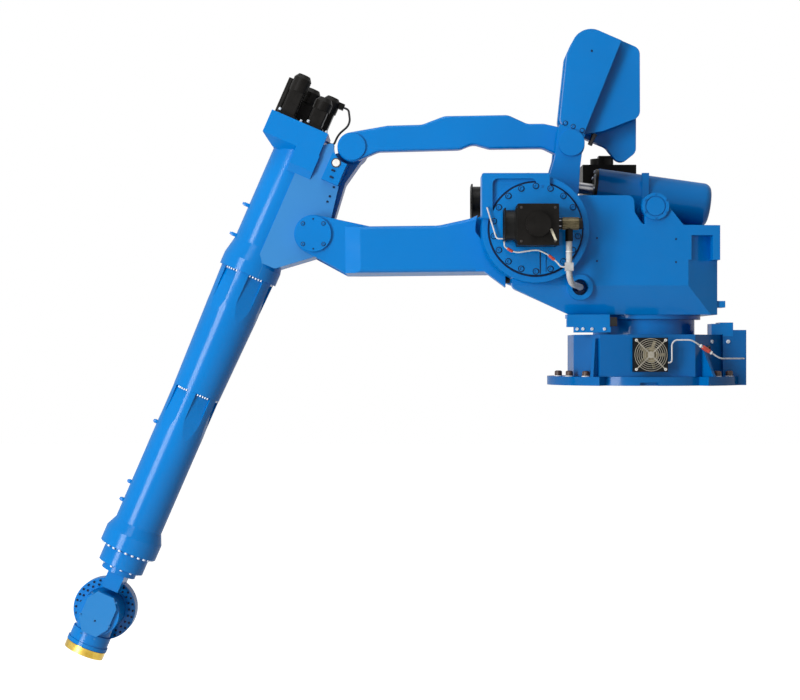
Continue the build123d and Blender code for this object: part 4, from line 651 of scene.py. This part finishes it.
# %% Foot bolts, fan screws and splice
foot_radius = 420
foot_angles = [math.radians(a) for a in (195, 210, 225, -30, -45)]
foot_places = [at(foot_radius * math.cos(a), foot_radius * math.sin(a), 40) for a in foot_angles]
set_copies(washer_master, "foot_washers", foot_places, UP, (19, 4), "base", white_plastic)
set_copies(screw_master, "foot_bolts", [place + at(0, 0, 4) for place in foot_places], UP, (17, 20), "base",
           brown_bolt)
set_copies(screw_master, "base_fan_screws",
           [at(-17 + a, -400, 139 + b) for a in (-65, 65) for b in (-65, 65)], NEAR, (6.5, 4), "base",
           white_plastic)
set_copies(screw_master, "box_corner_bolt", [at(278, -235, 198.4)], at(0.768, -0.64, 0), (9, 8), "base",
           zinc_bolt)
set_copies(screw_master, "box_side_bolt", [at(363.3, -180, 198.7)], NEAR, (9, 8), "base", zinc_bolt)
set_copies(screw_master, "corner_knob", [at(258, -259, 169)], at(0.768, -0.64, 0), (11, 10), "base",
           dark_bolt)
lead_run = at(135, 48.4, -83).normalized()
splice = at(232, -372.4, 163.8)
set_copies(sleeve_master, "base_lead_splice", [splice - lead_run * 0.02], lead_run, (10, 40), "base",
           red_sleeve)
set_copies(sleeve_master, "base_lead_ties", [splice - lead_run * 0.034, splice + lead_run * 0.026],
           lead_run, (8, 8), "base", white_plastic)
print("foot bolts", len(foot_places))

# %% [markdown]
# ## The elbow and the lever
# Small screws hold the elbow covers. The nearest weight on the lever has three sunk screws, and
# a black stop bolt hangs under it.

# %% Elbow and lever
elbow_places = ring(elbow + at(0, -209, 0), RIGHT, UP, 66, 4, 45)
set_copies(screw_master, "elbow_cover_screws", elbow_places, NEAR, (7, 4), "lower_arm", blue_enamel)
# Dark rings and discs are painted shade in the cover's screw seats and holes.
set_copies(recess_master, "elbow_cover_seat_shade", elbow_places, NEAR, (10, 1.2), "lower_arm", painted_shade_blue)
set_copies(screw_master, "elbow_cover_hole_shade", ring(elbow + at(0, -209, 0), RIGHT, UP, 68, 2, 90), NEAR,
           (4, 1.2), "lower_arm", painted_shade_blue)
set_copies(screw_master, "elbow_cover_far_screws", ring(elbow + at(0, 209, 0), RIGHT, UP, 66, 4, 45), FAR,
           (8, 4), "lower_arm", blue_enamel)
weight_places = [on_lever(right, -205, 512) for right in (-60, -22, 23)]
set_copies(screw_master, "weight_screws", weight_places, NEAR, (8, 3), "lever", blue_enamel)
# Dark rings and a disc are painted shade in the weight's screw seats and hole.
set_copies(recess_master, "weight_screw_seat_shade", weight_places, NEAR, (11.5, 1.2), "lever", painted_shade_blue)
set_copies(screw_master, "lever_hole_shade", [on_lever(-81.7, -205, 862)], NEAR, (5, 1.5), "lever", painted_shade_blue)
set_copies(hexagon_master, "lever_stop_bolt", [on_lever(86, -100, 535)], -lean_up, (11, 57), "lever",
           dark_bolt)
print("lever screws", len(weight_places))

# %% [markdown]
# ## The forearm
# The tapered tubes are bolted end to end, with five screws sunk in each of six pockets. Small
# clamp lugs run down the left side for a dress pack. The cover panel has a white plug and clips, whose
# near-black blue is partly painted shade.

# %% Tube joints
first_pocket = -65
pocket_step = 60
screw_step = 7
joint_angles = []
for pocket in range(6):
    for screw in (-2, -1, 0, 1, 2):
        joint_angles.append(math.radians(first_pocket + pocket_step * pocket + screw_step * screw))
for label, station, radius in (("upper", 288, 122), ("middle", 885.5, 104)):
    set_copies(screw_master, label + "_joint_screws",
               [on_forearm(radius * math.cos(a), radius * math.sin(a), -station) for a in joint_angles],
               -lean_up, (4.2, 8), "forearm", zinc_bolt)
set_copies(screw_master, "tube_end_screws", ring(on_forearm(0, 0, -1684), lean_right, FAR, 123, 24, 4),
           -lean_up, (7, 9), "forearm", zinc_bolt)
set_copies(lug_master, "upper_clamp_lugs", [on_forearm(-120, 0, 8), on_forearm(-120, 0, -142)], -lean_right,
           (17, 26, 25), "forearm", blue_enamel, lean_up)
set_copies(lug_master, "lower_clamp_lugs", [on_forearm(-110, 0, up) for up in (-1085, -1390, -1480)],
           -lean_right, (17, 26, 16), "forearm", blue_enamel, lean_up)
print("joint screws", 2 * len(joint_angles))

# %% Motor box and panel
set_copies(sleeve_master, "panel_plug", [on_forearm(181.6, -159, 341.5)], NEAR, (17, 5), "forearm",
           white_plastic)
set_copies(recess_master, "panel_plug_ring", [on_forearm(181.6, -159, 341.5)], NEAR, (22, 3), "forearm",
           dark_bolt)
# The clips and the near plate's small screws are real; their near-black blue is painted shade round them.
set_copies(plate_master, "panel_clips", [on_forearm(183, -159, 304), on_forearm(188, -159, 273)], NEAR,
           (18, 9, 5), "forearm", painted_shade_blue, lean_right)
set_copies(screw_master, "near_plate_screws", [on_forearm(214, -127, up) for up in (237, 191, 164)], NEAR,
           (5.5, 2.5), "forearm", painted_shade_blue)
motor_foot_places = [on_forearm(-158, -110, 464), on_forearm(-47, -110, 450), on_forearm(-16, -106, 464),
                     on_forearm(80, -110, 450)]
set_copies(screw_master, "wrist_motor_screws", motor_foot_places, lean_up, (7, 12), "forearm", zinc_bolt)
print("motor box dressed")

# %% [markdown]
# ## The wrist and the balancer
# The rolling housing carries a gear disc with two rows of screws, whose dark colour is painted shade
# in their holes. The bending block's cover has a small screw at each corner, and its paler blue is a
# painted sheen. The balancer's front end is a black bolted flange.

# %% Wrist and balancer
# The disc's screws are dark with painted shade in their holes.
for label, radius, count in (("outer", 134, 28), ("inner", 116, 24)):
    set_copies(screw_master, "wrist_disc_" + label + "_screws",
               ring(on_wrist(0, 100, 0), lean_right, lean_up, radius, count, 6), NEAR, (5.5, 4),
               "wrist_roll", painted_shade_blue)
set_copies(screw_master, "wrist_ring_screws", ring(on_forearm(0, 0, -1770), lean_right, FAR, 95, 12, 10),
           -lean_up, (6, 7), "wrist_roll", zinc_bolt)
set_copies(rim_master, "wrist_disc_rim", [on_wrist(0, 100, 0)], NEAR, (108, 6), "wrist_roll", blue_enamel)
set_copies(rim_master, "tool_unit_band", [on_wrist(0, 0, -168)], lean_up, (97, 18), "wrist_bend",
           blue_enamel)
cover_corners = ((58, 84), (71, -27), (33, -107), (-58, 84), (-71, -27), (-33, -107))
set_copies(screw_master, "wrist_cover_screws", [on_wrist(right, -118, up) for right, up in cover_corners],
           NEAR, (5, 2.5), "wrist_bend", painted_sheen_enamel)
# A dark disc is painted shade in the cover's hole.
set_copies(screw_master, "wrist_cover_shade_disc", [on_wrist(1, -118, -30)], NEAR, (4.5, 1.5), "wrist_bend",
           painted_shade_blue)
balance_lean = math.radians(8)
balance_along = Vector((math.cos(balance_lean), 0, -math.sin(balance_lean)))
balance_up = Vector((math.sin(balance_lean), 0, math.cos(balance_lean)))
balance_front = at(12, 130, 805) + balance_up * 0.078 - balance_along * 0.235
set_copies(flange_master, "balancer_flange", [balance_front], -balance_along, (100, 14), "balancer",
           satin_black)
set_copies(screw_master, "balancer_flange_screws",
           ring(balance_front - balance_along * 0.014, balance_up, FAR, 86, 8, 0), -balance_along, (7, 6),
           "balancer", zinc_bolt)
print("wrist and balancer dressed")

# %% [markdown]
# ## Finishing
# The masters have been copied to every place that needs them, so they are removed.

# %% Remove the masters and finish
for master in masters:
    bpy.data.objects.remove(master, do_unlink=True)
